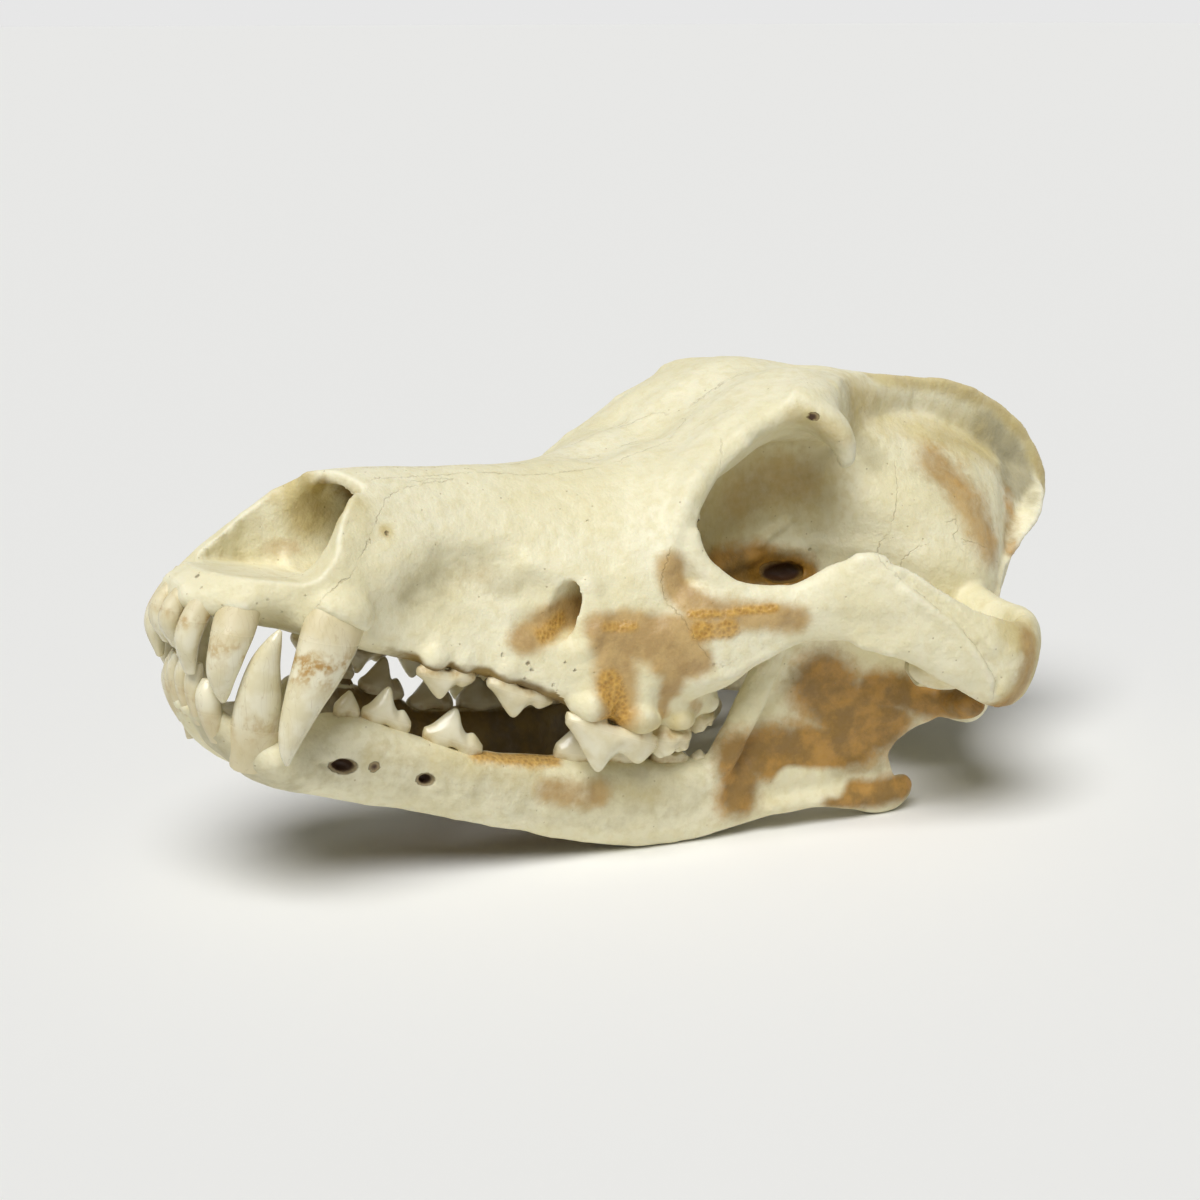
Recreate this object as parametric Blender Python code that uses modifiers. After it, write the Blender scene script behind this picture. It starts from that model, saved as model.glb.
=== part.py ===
# Wolf skull with its lower jaw, life size, modelled in the skull's own frame and then set on the ground.
# In the skull's frame, x runs back from the front incisors, y is across (left is negative) and z is up.
# Every size and place below is in millimetres. The snout points to -X.

import math

import bmesh
import bpy
import numpy as np
from mathutils import Matrix, Vector

MM = 0.001
SNOUT_UP = math.radians(13.0)  # the jaw's curved lower edge holds the snout this much above level
GAP = 0.3  # kept between solids that touch
GRAIN = 1.0  # size of the squares that the fused bone is rebuilt from
BONE_COLOUR = (0.86, 0.80, 0.60, 1.0)
BONE_ROUGHNESS = 0.55

LEFT, RIGHT = -1, 1
SIDES = {"left": LEFT, "right": RIGHT}

CRANIUM_TRIANGLES = 6400
JAW_TRIANGLES = 1350
FLAT_DEPTH = 0.5  # shaved from the jaw's lowest places, so that it rests on small flats
FACE_CUT = ((120, 52), (147, -12))  # x and z at two places of the cut behind the face
ARCH_CUT = 39.5  # how far from the midline the cheek arches are cut from the braincase

# Cross-sections from front to back: x, half width, height of the widest level, top, bottom,
# and how square the section is above and below its widest level (2 is an ellipse).
SNOUT = (
    (-4, 7, 3.5, 6, 0.5, 2, 2),
    (0, 12.5, 4, 9, -1, 2.2, 3),
    (8, 17.5, 5, 16, -1.5, 2.2, 3),
    (18, 21.5, 6, 27, -2.5, 2.1, 3),
    (27, 24, 6, 34.5, -3.5, 2.1, 3),
    (38, 22.5, 4, 37.5, -5, 2.0, 3.5),
    (50, 22, 1, 39.3, -6.5, 2.0, 4),
    (65, 25, -1, 41.3, -7.5, 1.9, 4),
    (80, 30, -3, 43.5, -9.5, 1.9, 4),
    (95, 36, -6, 46.5, -13, 2.1, 4),
    (108, 40.5, -7, 51, -16.6, 2.5, 4),
    (118, 39.5, -6, 56, -17.6, 2.9, 4),
    (125, 35, -2, 58, -14, 3.1, 3),
)
ORBIT_CORE = (
    (98, 18, 15, 40, -8, 3, 3),
    (118, 15.5, 25, 52, -8, 3, 3),
    (135, 13, 30, 62, -7, 3, 3),
    (150, 12.5, 30, 70, -4, 3, 3),
    (165, 14.5, 35, 76, -1, 2.4, 3),
    (180, 18, 38, 78, 0, 1.8, 3),
)
FRONTAL_ROOF = (
    (98, 13, 40, 47, 32, 2.2, 2),
    (110, 18, 44, 51.5, 36, 2.4, 2),
    (121, 21.5, 49, 55.6, 42, 2.6, 2),
    (129, 24.5, 55.5, 62.6, 47, 2.8, 2),
    (138, 27, 64, 71, 53, 3.2, 2),
    (148, 29.4, 70.5, 78, 58, 3.4, 2),
    (158, 31, 73, 81.5, 60, 3.2, 2),
    (167, 26, 73, 82.5, 60, 2.5, 2),
    (178, 17, 72, 83, 58, 2.2, 2),
    (190, 9, 73, 83.5, 60, 2, 2),
    (202, 4.5, 75, 84, 66, 2, 2),
    (212, 2, 78, 84, 72, 2, 2),
)
VAULT = (
    (162, 13, 40, 76, 0, 2.2, 3),
    (176, 18.5, 40, 78, 1, 1.7, 3),
    (187, 23, 38, 77, 0, 1.45, 2.8),
    (199, 29, 36, 76, -1, 1.35, 2.6),
    (212, 33, 35, 76, -1, 1.35, 2.5),
    (224, 34, 33, 75, -1, 1.4, 2.5),
    (235, 29.5, 31, 73, 2, 1.5, 2.5),
    (245, 20.5, 34, 69, 9, 1.7, 2.2),
    (253, 14, 42, 66, 26, 1.9, 2.2),
    (261, 8, 50, 64, 40, 2, 2),
    (269, 3, 57, 63, 50, 2, 2),
)
SKULL_BASE = (
    (140, 12, 0, 5, -4, 3, 3),
    (170, 12, 2, 8, -2, 3, 3),
    (200, 14, 2, 9, -2, 3, 3),
    (235, 15, 3, 10, -1, 3, 3),
    (249, 13, 5, 14, 1, 2, 2),
)
# Paths with an oval section: x, y, z, then half the thickness and half the height.
ARCH = (
    (112, 33, 4, 9, 13),
    (124, 39, 10, 8, 15),
    (134, 44, 15.5, 5.5, 12),
    (146, 50, 20.5, 4, 8),
    (157, 55.5, 26, 3.6, 11),
    (164, 59, 26.5, 3.6, 12),
    (176, 64, 23, 3.6, 10.5),
    (190, 68, 18.5, 4.2, 10.5),
    (203, 69, 16, 5.0, 12),
    (213, 64, 17, 5.5, 12),
    (219, 54, 19, 6.0, 11),
    (221, 42, 20, 7.0, 11),
    (221, 30, 21, 8.0, 11),
)
ORBIT_RIM = (
    (112, 33, 24, 5, 6),
    (116, 33, 35, 4, 5),
    (121, 30.5, 45, 3.4, 4.5),
    (130, 28.5, 54.5, 3.2, 3.6),
    (141, 28, 64.5, 3.4, 3.6),
    (152, 28, 71, 5, 5),
)
BROW = (
    (108, 25, 32, 9, 9),
    (118, 24.5, 42, 8, 8),
    (127, 22.5, 51, 7, 7),
    (138, 21.5, 61, 7, 7),
    (150, 22, 69, 7, 7),
)
ORBIT_PROCESS = (
    (150, 23, 73, 10, 7),
    (156, 28, 71, 8.5, 5.5),
    (160.5, 31, 67, 6.5, 4.5),
    (162.5, 32, 63, 3.4, 2.6),
)
NUCHAL_CREST = (
    (267, -1, 58.5, 2.2, 5),
    (260, 7, 55.5, 2.0, 6),
    (251, 14.5, 49.5, 1.8, 6.5),
    (238.5, 20.5, 39.5, 1.8, 6.5),
    (230.5, 26, 31, 2.2, 6.5),
    (228.5, 29.5, 21, 3.0, 6),
    (229, 32, 12, 4.0, 5),
    (231, 33, 4, 3.5, 4),
)
PTERYGOID = (
    (136, 11, -6, 1.8, 5),
    (152, 10.5, -3, 1.6, 6),
    (166, 10, -2.5, 1.6, 7),
    (176, 10, -3, 1.6, 6),
    (182, 10.5, -6, 1.5, 2.5),
)
JUGULAR_PROCESS = ((238, 24, 12, 6, 6), (240, 27, 0, 5, 4), (241, 28.5, -11, 2.2, 2))
# Spaces cut from the cranium, as cross-sections and as oval paths.
NASAL_TUNNEL = (
    (20, 10.5, 20, 30, 9.5, 2.4, 2.4),
    (30, 11.0, 21, 32, 9.5, 2.4, 2.4),
    (38, 10.5, 21, 34, 10, 2.4, 2.4),
    (55, 9.5, 21, 34.5, 12, 2.4, 2.4),
    (80, 7, 22, 32, 14, 2.4, 2.4),
)
PALATE_VAULT = (
    (4, 7, -12, -3.5, -34, 2, 2),
    (20, 10, -14, -2, -34, 2, 2),
    (45, 13, -15, -2.5, -34, 2.2, 2),
    (75, 19, -18, -4.5, -34, 2.6, 2),
    (98, 29, -22, -8.5, -34, 3, 2),
    (112, 30.5, -22, -9, -34, 3, 2),
    (124, 23, -19, -8, -34, 2.6, 2),
    (146, 17, -15, -6, -34, 2.4, 2),
)
CHOANAE = (
    (128, 7, -5, 1, -16, 2, 2),
    (142, 8.5, -4, 4, -16, 2.2, 2),
    (165, 8.3, -4, 3, -16, 2.2, 2),
    (190, 8, -6, -1, -16, 2.2, 2),
)
INFRAORBITAL_CANAL = (
    (64, 34.5, 9, 2.6, 6),
    (76, 32.6, 10.5, 2.6, 6.5),
    (86, 30.4, 12.5, 2.6, 6.5),
    (97, 27, 14, 2.5, 5.5),
    (112, 24.5, 16, 2.5, 4),
)
JAW_BEARING = ((203.3, 36, 0.5, 6.2, 5.9), (203.3, 52, 1.6, 6.2, 5.9), (202.6, 68, 3.0, 6.0, 5.7))
# The flat of the sagittal crest and of the jaw's upright part, as x and z round the edge.
CREST = (
    (176, 60), (182, 82), (196, 83.7), (208, 84.7), (223, 86), (236, 85.3), (248, 82.3), (258, 77.5),
    (266, 71.5), (272, 64.5), (274.5, 58), (273.5, 51.5), (266, 47), (255, 44), (240, 42), (200, 50),
)
RAMUS = (
    (128, -40), (138, -30), (143, -14), (146.5, 1), (150, 13), (156, 25), (163, 33), (171, 36.5),
    (179, 35), (184.5, 28), (187, 18), (190, 8), (196, 2), (201, -2), (198.5, -7), (193.5, -11.5),
    (191.5, -16), (194, -20.5), (197, -24), (195, -30), (188, -32), (175, -32.3), (162, -35.5),
    (148, -41.5),
)
# The jaw's body: x, half thickness, middle height, top, bottom, squareness above and below.
JAW_BODY = (
    (4.5, 3.4, -23, -20, -26, 2, 2),
    (8, 6, -26, -21.5, -31, 2.5, 2),
    (14, 9, -30.5, -25, -36, 2.6, 2.2),
    (21, 10.5, -32.5, -26.8, -40, 2.6, 2.2),
    (30, 9.6, -33, -25, -42.3, 2.6, 2.2),
    (42, 7.4, -33, -21.8, -43.5, 2.8, 2.2),
    (55, 6.0, -34.5, -23.8, -44.2, 3, 2.2),
    (70, 5.6, -36.5, -27, -45, 3, 2.2),
    (88, 5.8, -37.5, -27, -46.8, 3, 2.2),
    (105, 6.2, -38, -26, -48.3, 3, 2.2),
    (122, 6.2, -38, -25, -49, 3, 2.2),
    (136, 5.6, -36, -23, -46.5, 3, 2.2),
    (148, 4.6, -33, -21, -42, 3, 2.2),
    (160, 3.2, -29, -19, -37, 3, 2.2),
    (174, 1.5, -26, -18, -33, 2.5, 2.2),
)
RAMUS_RIDGE = (
    (134, 1.5, -34, 4.5, 4.5),
    (142, 2, -22, 3.6, 3.6),
    (146.5, 2.2, -4, 3.4, 3.2),
    (150, 2.2, 12, 3.2, 2.8),
    (158, 1.6, 26, 2.8, 2.4),
    (167, 0.6, 33.5, 2.2, 2.2),
)
ANGULAR_PROCESS = (
    (158, 1, -34, 3.0, 2.8),
    (174, 1, -29.6, 2.6, 3.0),
    (186, 0.5, -29.1, 3.0, 4.0),
    (194, 0, -28.6, 3.4, 4.8),
    (199, -0.5, -25.4, 2.8, 4),
    (201.5, -1, -23, 1.6, 2.2),
)
CONDYLE_NECK = (
    (168, 0, 6, 1.4, 13),
    (180, 0.6, 1.5, 2.8, 11),
    (191, 1.2, -2, 3.2, 7),
    (200, 2.5, -0.5, 4.2, 4.5),
)
CONDYLE = (
    (203, -6, 0.2, 3.0, 3.2),
    (203.3, -2, 0.8, 4.6, 4.4),
    (203.3, 6, 1.4, 5.2, 4.8),
    (202.6, 13, 2.2, 4.4, 4.2),
    (202, 16.5, 2.5, 2.6, 2.6),
)
# How far each half of the jaw lies from the midline along its length, and how it leans with height.
JAW_SPREAD = (
    (0, 2.5), (5, 3.4), (8, 5.4), (14, 8.2), (21, 9.6), (30, 9.3), (42, 11.5), (55, 15.5), (70, 19.5),
    (88, 23.0), (105, 26.0), (122, 28.5), (140, 32.5), (160, 37.0), (180, 41.0), (200, 44.0), (215, 46.0),
)
JAW_LEAN = 0.06
JAW_LEVEL = -38  # the height at which the jaw's distance from the midline is measured

# Teeth. A cheek tooth is a row: name, x, y and z of the middle of its neck, length, width, height,
# the turn of its length away from x, the slope of its neck to the rear, both in degrees, and its form.
UPPER_CHEEK_TEETH = (
    ("p1", 43.5, 19.8, -5.4, 6.5, 5, 4.6, 0, -2, "peg"),
    ("p2", 62.5, 21.9, -7.2, 16, 5.8, 7.2, 5, -1, "premolar"),
    ("p3", 82.0, 26.4, -9.0, 18.5, 6.6, 8.0, 9, -9, "premolar"),
    ("p4", 105.0, 36.3, -15.0, 25.5, 9.0, 12.6, 14, -8, "upper carnassial"),
    ("m1", 124.3, 31.8, -15.8, 13.5, 16.5, 7.0, -8, 6, "grinder"),
    ("m2", 135.0, 30.2, -11.5, 7.5, 12, 4.4, -12, 20, "grinder"),
)
LOWER_CHEEK_TEETH = (
    ("p1", 42.0, 12.6, -21.8, 6.8, 4.4, 6.2, 15, -6, "peg"),
    ("p2", 51.8, 15.3, -22.8, 13.2, 5.2, 9.3, 14, -10, "premolar"),
    ("p3", 69.2, 20.0, -26.4, 16.2, 5.8, 9.6, 14, -11, "premolar"),
    ("p4", 87.0, 23.6, -26.8, 15.5, 6.4, 10.0, 10, 0, "premolar"),
    ("m1", 109.5, 27.2, -26.0, 26, 8.0, 11.5, 9, 2, "lower carnassial"),
    ("m2", 129.0, 30.6, -24.4, 10.5, 7.0, 3.6, 12, 4, "grinder"),
    ("m3", 137.4, 32.4, -23.6, 4.6, 4.6, 2.8, 12, 4, "peg"),
)
MISSING_TEETH = {("upper", "p1", "left"), ("lower", "p4", "left")}  # lost in life, their sockets healed
# A form is its heights along the crown's length, as shares, and then half the crown's width
# outside and inside near the top, where the cutting edge lies across it, and how high its inner half is.
TOOTH_FORMS = {
    "peg": (((0, 0.35), (0.3, 0.8), (0.5, 1.0), (0.75, 0.7), (1, 0.3)), 0.6, 0.6, 0.0, 0.75),
    "premolar": (
        ((0, 0.25), (0.14, 0.42), (0.45, 1.0), (0.6, 0.6), (0.7, 0.44), (0.82, 0.5), (1, 0.25)),
        0.6, 0.55, 0.0, 0.75,
    ),
    "upper carnassial": (
        ((0, 0.22), (0.14, 0.45), (0.41, 1.0), (0.53, 0.68), (0.63, 0.5), (0.84, 0.62), (1, 0.25)),
        0.65, 0.45, 0.15, 0.7,
    ),
    "lower carnassial": (
        ((0, 0.3), (0.2, 0.72), (0.33, 0.6), (0.48, 1.0), (0.64, 0.5), (0.82, 0.45), (1, 0.3)),
        0.6, 0.6, 0.0, 0.75,
    ),
    "grinder": (((0, 0.4), (0.25, 0.95), (0.5, 0.6), (0.72, 0.8), (1, 0.35)), 0.8, 0.7, 0.55, 0.55),
}
ROOT = 6.0  # how deep a cheek tooth's root goes into the bone
# Front teeth as paths from the root to the tip: x, y, z, half the width along the row, half the depth.
UPPER_FRONT_TEETH = {
    "i1": ((1.5, 2.9, 6, 2.0, 2.2), (-3.2, 3.0, 0.5, 2.5, 2.8), (-4.0, 3.1, -4, 2.7, 2.7), (-1.2, 3.0, -10, 1.6, 0.9)),
    "i2": ((3.5, 8.2, 6, 2.4, 2.6), (-0.2, 9.0, -0.5, 2.9, 3.2), (-1.8, 9.6, -7, 3.1, 2.9), (0.6, 9.2, -15, 1.5, 0.9)),
    "i3": (
        (9, 13.0, 6, 3.6, 3.2), (7.0, 15.0, -1.5, 5.2, 4.0), (5.6, 16.3, -7, 4.6, 3.9),
        (5.2, 16.4, -12.5, 3.6, 3.2), (7.2, 15.6, -19.5, 0.9, 0.8),
    ),
    "canine": (
        (30.5, 21.5, 9, 5.5, 3.8), (27.6, 24.3, -0.5, 7.0, 4.9), (25.2, 25.3, -9, 5.4, 4.5),
        (22.4, 25.7, -18, 4.0, 3.6), (21.2, 25.8, -26, 2.9, 2.7), (21.7, 25.6, -32, 0.9, 0.8),
    ),
}
LOWER_FRONT_TEETH = {
    "i1": ((6.5, 2.2, -26, 1.5, 2.0), (3.6, 2.3, -21, 1.9, 2.4), (1.8, 2.4, -16.5, 2.1, 2.0), (1.6, 2.4, -12.5, 1.6, 0.8)),
    "i2": ((8.0, 5.6, -27, 1.8, 2.2), (4.8, 6.2, -22, 2.2, 2.6), (3.0, 6.6, -17, 2.5, 2.2), (3.0, 6.6, -12.5, 1.8, 0.8)),
    "i3": ((11, 9.4, -30, 2.2, 2.4), (7.6, 10.4, -25.3, 2.8, 2.8), (5.2, 10.9, -20, 3.0, 2.5), (5.0, 10.8, -15.6, 1.9, 0.9)),
    "canine": (
        (19, 13.5, -35, 4.6, 3.8), (16.4, 16.2, -27, 5.8, 4.8), (15.4, 17.8, -18.5, 5.4, 4.4),
        (14.2, 19.3, -10, 3.7, 3.2), (15.0, 20.6, -3.6, 2.2, 2.1), (15.8, 21.2, -0.4, 0.8, 0.8),
    ),
}
# How far round from straight ahead each front tooth faces, in degrees.
FACING = {"i1": 8, "i2": 28, "i3": 55, "canine": 80}


def smooth_rows(rows, count):
    """Rows of a table read at an even spacing along a Catmull-Rom curve."""
    rows = np.array(rows, float)
    padded = np.vstack([2 * rows[0] - rows[1], rows, 2 * rows[-1] - rows[-2]])
    found = []
    for place in np.linspace(0, len(rows) - 1, count):
        k = min(int(place), len(rows) - 2)
        t = place - k
        a, b, c, d = padded[k : k + 4]
        curve = (c - a) * t + (2 * a - 5 * b + 4 * c - d) * t**2 + (3 * b - a - 3 * c + d) * t**3
        found.append(b + curve / 2)
    return found


def new_object(name, mesh):
    """Turns a bmesh in millimetres into an object in the scene."""
    data = bpy.data.meshes.new(name)
    mesh.to_mesh(data)
    mesh.free()
    data.transform(Matrix.Scale(MM, 4))
    made = bpy.data.objects.new(name, data)
    bpy.context.scene.collection.objects.link(made)
    return made


def loft(name, rings):
    """A closed mesh through rings of points that run the same way round."""
    mesh = bmesh.new()
    made = [[mesh.verts.new(p) for p in ring] for ring in rings]
    sides = len(rings[0])
    for first, second in zip(made, made[1:]):
        for k in range(sides):
            near = (k + 1) % sides
            mesh.faces.new((first[k], first[near], second[near], second[k]))
    mesh.faces.new(made[0][::-1])
    mesh.faces.new(made[-1])
    bmesh.ops.recalc_face_normals(mesh, faces=mesh.faces)
    return new_object(name, mesh)


def section(x, half_width, wide_z, top, bottom, top_power, bottom_power, sides=36):
    """An outline across the skull: a superellipse above its widest level and another below it."""
    points = []
    for k in range(sides):
        turn = 2 * math.pi * k / sides
        across, up = math.cos(turn), math.sin(turn)
        power = 2 / (top_power if up >= 0 else bottom_power)
        reach = top - wide_z if up >= 0 else wide_z - bottom
        y = half_width * math.copysign(abs(across) ** power, across)
        points.append((x, y, wide_z + reach * math.copysign(abs(up) ** power, up)))
    return points


def body(name, stations, count=40):
    """A loft through sections across the skull."""
    return loft(name, [section(*row) for row in smooth_rows(stations, count)])


def tube(name, stations, count=30, sides=20, up=(0, 0, 1)):
    """A loft along a path, with oval sections whose height lies along up."""
    rows = smooth_rows(stations, count)
    centres = np.array([row[:3] for row in rows])
    rings = []
    for row, centre, ahead in zip(rows, centres, np.gradient(centres, axis=0)):
        out = np.cross(ahead, up)
        out = out / np.linalg.norm(out)
        high = np.cross(out, ahead / np.linalg.norm(ahead))
        turns = np.linspace(0, 2 * math.pi, sides, endpoint=False)
        rings.append([centre + out * row[3] * math.cos(t) + high * row[4] * math.sin(t) for t in turns])
    return loft(name, rings)


def mirrored(stations, side):
    """Stations given for the right-hand side, set on the side that is asked for."""
    return [(row[0], side * row[1], *row[2:]) for row in stations]


def ellipsoid(name, centre, radii, turn_y=0.0, turn_z=0.0):
    """A round lump. It may be turned about y and then about z, in degrees."""
    mesh = bmesh.new()
    bmesh.ops.create_uvsphere(mesh, u_segments=32, v_segments=20, radius=1)
    turn = Matrix.Rotation(math.radians(turn_z), 4, "Z") @ Matrix.Rotation(math.radians(turn_y), 4, "Y")
    mesh.transform(Matrix.Translation(centre) @ turn @ Matrix.Diagonal((*radii, 1)))
    return new_object(name, mesh)


def plate(name, outline, half_thickness):
    """A flat outline, x and z round its edge, with one thickness all over."""
    mesh = bmesh.new()
    face = mesh.faces.new([mesh.verts.new((x, -half_thickness, z)) for x, z in outline])
    raised = bmesh.ops.extrude_face_region(mesh, geom=[face])["geom"]
    moved = [v for v in raised if isinstance(v, bmesh.types.BMVert)]
    bmesh.ops.translate(mesh, verts=moved, vec=(0, 2 * half_thickness, 0))
    bmesh.ops.recalc_face_normals(mesh, faces=mesh.faces)
    return new_object(name, mesh)


def prism(name, outline, low, high):
    """An outline seen from above, x and y round its edge, between two heights."""
    mesh = bmesh.new()
    face = mesh.faces.new([mesh.verts.new((x, y, low)) for x, y in outline])
    raised = bmesh.ops.extrude_face_region(mesh, geom=[face])["geom"]
    moved = [v for v in raised if isinstance(v, bmesh.types.BMVert)]
    bmesh.ops.translate(mesh, verts=moved, vec=(0, 0, high - low))
    bmesh.ops.recalc_face_normals(mesh, faces=mesh.faces)
    return new_object(name, mesh)


def box(name, low, high):
    mesh = bmesh.new()
    bmesh.ops.create_cube(mesh, size=1)
    size = Vector(high) - Vector(low)
    mesh.transform(Matrix.Translation((Vector(high) + Vector(low)) / 2) @ Matrix.Diagonal((*size, 1)))
    return new_object(name, mesh)


def apply_modifiers(obj):
    """Makes what the modifiers show the object's own mesh."""
    graph = bpy.context.evaluated_depsgraph_get()
    made = bpy.data.meshes.new_from_object(obj.evaluated_get(graph))
    obj.modifiers.clear()
    old = obj.data
    obj.data = made
    bpy.data.meshes.remove(old)


def boolean(obj, others, operation, solver="MANIFOLD"):
    """Joins other closed pieces to an object, or cuts them from it, and then removes them."""
    group = bpy.data.collections.new(f"{obj.name} {operation.lower()}")
    for other in others:
        group.objects.link(other)
    step = obj.modifiers.new(operation.title(), "BOOLEAN")
    step.operation = operation
    step.operand_type = "COLLECTION"
    step.collection = group
    step.solver = solver
    apply_modifiers(obj)
    for other in others:
        bpy.data.objects.remove(other)
    bpy.data.collections.remove(group)


def fuse(name, pieces, grain=GRAIN):
    """Joins pieces into one bone and rebuilds its surface in even squares."""
    bone = pieces[0]
    bone.name = name
    boolean(bone, pieces[1:], "UNION")
    rebuild(bone, grain)
    return bone


def rebuild(bone, grain=GRAIN):
    step = bone.modifiers.new("Rebuild", "REMESH")
    step.mode = "VOXEL"
    step.voxel_size = grain * MM
    apply_modifiers(bone)


def points_of(obj):
    """The object's vertices and their normals, with places in millimetres."""
    count = len(obj.data.vertices)
    places, normals = np.empty(count * 3, np.float32), np.empty(count * 3, np.float32)
    obj.data.vertices.foreach_get("co", places)
    obj.data.vertices.foreach_get("normal", normals)
    return places.reshape(-1, 3).astype(float) / MM, normals.reshape(-1, 3).astype(float)


def place_points(obj, places):
    obj.data.vertices.foreach_set("co", (places * MM).astype(np.float32).ravel())
    obj.data.update()


def soften(obj, rounds):
    """Smooths a rebuilt surface in pairs of steps, one in and one out, so that it doesn't shrink."""
    places, _ = points_of(obj)
    ends = np.empty(len(obj.data.edges) * 2, np.int32)
    obj.data.edges.foreach_get("vertices", ends)
    first, second = ends.reshape(-1, 2).T
    near = np.bincount(ends, minlength=len(places))[:, None]
    for _ in range(rounds):
        for share in (0.5, -0.52):
            total = np.zeros_like(places)
            for axis in range(3):
                total[:, axis] = np.bincount(first, places[second, axis], len(places))
                total[:, axis] += np.bincount(second, places[first, axis], len(places))
            places = places + share * (total / near - places)
    place_points(obj, places)


def distance_to_path(places, path):
    """How far each point lies from a line of straight runs, or from a single point."""
    path = np.array(path, float)
    if len(path) == 1:
        return np.linalg.norm(places - path[0], axis=1)
    nearest = np.full(len(places), np.inf)
    for a, b in zip(path, path[1:]):
        share = np.clip((places - a) @ (b - a) / ((b - a) @ (b - a)), 0, 1)
        nearest = np.minimum(nearest, np.linalg.norm(places - a - share[:, None] * (b - a), axis=1))
    return nearest


def stroke(obj, path, radius, height, facing=None):
    """Raises the surface along a path, or presses it in where height is negative.

    Where facing is given, only what looks that way moves.
    """
    places, normals = points_of(obj)
    share = np.clip(1 - (distance_to_path(places, path) / radius) ** 2, 0, 1) ** 2
    if facing is not None:
        share = share * np.clip(normals @ np.array(facing, float), 0, 1)
    place_points(obj, places + normals * (share * height)[:, None])


def thin_out(obj, triangles):
    """Brings the mesh down to about this many triangles."""
    obj.data.calc_loop_triangles()
    step = obj.modifiers.new("Thin out", "DECIMATE")
    step.ratio = min(1.0, triangles / len(obj.data.loop_triangles))
    apply_modifiers(obj)


def bodies_of(obj):
    """Splits an object into its closed surfaces and returns them, the largest first."""
    bpy.ops.object.select_all(action="DESELECT")
    obj.select_set(True)
    bpy.context.view_layer.objects.active = obj
    bpy.ops.object.mode_set(mode="EDIT")
    bpy.ops.mesh.select_all(action="SELECT")
    bpy.ops.mesh.separate(type="LOOSE")
    bpy.ops.object.mode_set(mode="OBJECT")
    found = list(bpy.context.selected_objects)
    return sorted(found, key=lambda one: -len(one.data.vertices))


# The upper half of the skull


def cranium_pieces():
    """The plain forms that the cranium is fused from."""
    pieces = [
        body("snout", SNOUT, 60),
        body("orbit core", ORBIT_CORE),
        body("frontal roof", FRONTAL_ROOF),
        body("vault", VAULT, 60),
        body("skull base", SKULL_BASE),
        plate("sagittal crest", CREST, 1.6),
    ]
    for side in (LEFT, RIGHT):
        backwards = (0.6, 0.6 * side, 0.4)
        pieces += [
            tube("arch", mirrored(ARCH, side), 60),
            tube("orbit rim", mirrored(ORBIT_RIM, side)),
            tube("brow", mirrored(BROW, side)),
            tube("orbit process", mirrored(ORBIT_PROCESS, side)),
            tube("nuchal crest", mirrored(NUCHAL_CREST, side), 40, up=backwards),
            tube("pterygoid", mirrored(PTERYGOID, side)),
            tube("jugular process", mirrored(JUGULAR_PROCESS, side)),
            ellipsoid("tooth bed", (123, side * 30.5, -5), (18, 9.5, 11), turn_z=-side * 12),
            ellipsoid("bulla", (217, side * 19, -1), (14.5, 10, 10), turn_z=side * 20),
            ellipsoid("jaw socket", (211, side * 45, 13), (10, 24, 9), turn_y=-8),
            ellipsoid("socket's rear lip", (213.5, side * 44, 2), (3.2, 12, 8)),
            ellipsoid("condyle", (247, side * 12.5, 9), (7, 8, 11), turn_y=25),
        ]
    return pieces


def shape_cranium(bone):
    """Presses and raises what the plain forms don't have."""
    # the shallow trough down the forehead
    stroke(bone, [(108, 0, 50), (126, 0, 62), (145, 0, 78), (168, 0, 82)], 12, -2.4)
    for side in (LEFT, RIGHT):
        # the swelling over the root of the canine, and the hollow behind it
        stroke(bone, [(27, side * 24, 2), (36, side * 22, 12), (45, side * 20, 20)], 12, 1.3)
        stroke(bone, [(52, side * 22, 6), (66, side * 24, 12), (78, side * 27, 18)], 14, -1.5)
        # the notch that the lower canine rises into
        stroke(bone, [(14, side * 20, 0)], 8, -2.2)
        # the swelling over the carnassial's roots
        stroke(bone, [(98, side * 37, -6), (100, side * 34, 8)], 10, 1.0)
        # the wall of the braincase behind the orbit
        stroke(bone, [(181, side * 19, 34), (180, side * 18, 50)], 13, -1.6)


def nose_cutters():
    """The nose opening: cut from above to its floor, and from each side down to its rim.

    The thin upper bone of the left rim is broken away, so that rim lies further back.
    """
    floor, above = 9.5, 60
    seen_from_above = (
        (28, 8), (29, 10.5), (25, 12.3), (18, 12.8), (10, 11.5), (3, 8.5), (-4, 4.5), (-9, 0),
        (-4, -4.5), (3, -8.5), (10, -11.5), (18, -12.8), (25, -12.8), (31, -12), (36.5, -10.5),
        (37, -9), (35, -5), (32.5, 0), (30, 5),
    )
    right_rim = ((-12, 2), (2, 3), (4, 7), (7, 11.3), (12, 15.3), (18, 21.5), (23.6, 27.4), (28.5, 33))
    left_rim = (
        (-12, 8.5), (4, 9.8), (13, 10.6), (20, 11.2), (23, 13), (25, 15.8), (27.3, 20), (28.5, 25),
        (31, 30), (36.5, 35.5),
    )
    cutters = [prism("nose opening", seen_from_above, floor, above)]
    for name, rim, low, high in (("right rim", right_rim, 5.5, 30), ("left rim", left_rim, -30, -8.5)):
        outline = rim + ((rim[-1][0], above), (rim[0][0], above))
        side = plate(name, outline, (high - low) / 2)
        side.data.transform(Matrix.Translation((0, (high + low) / 2 * MM, 0)))
        cutters.append(side)
    cutters.append(body("nasal tunnel", NASAL_TUNNEL, 20))
    return cutters


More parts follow.
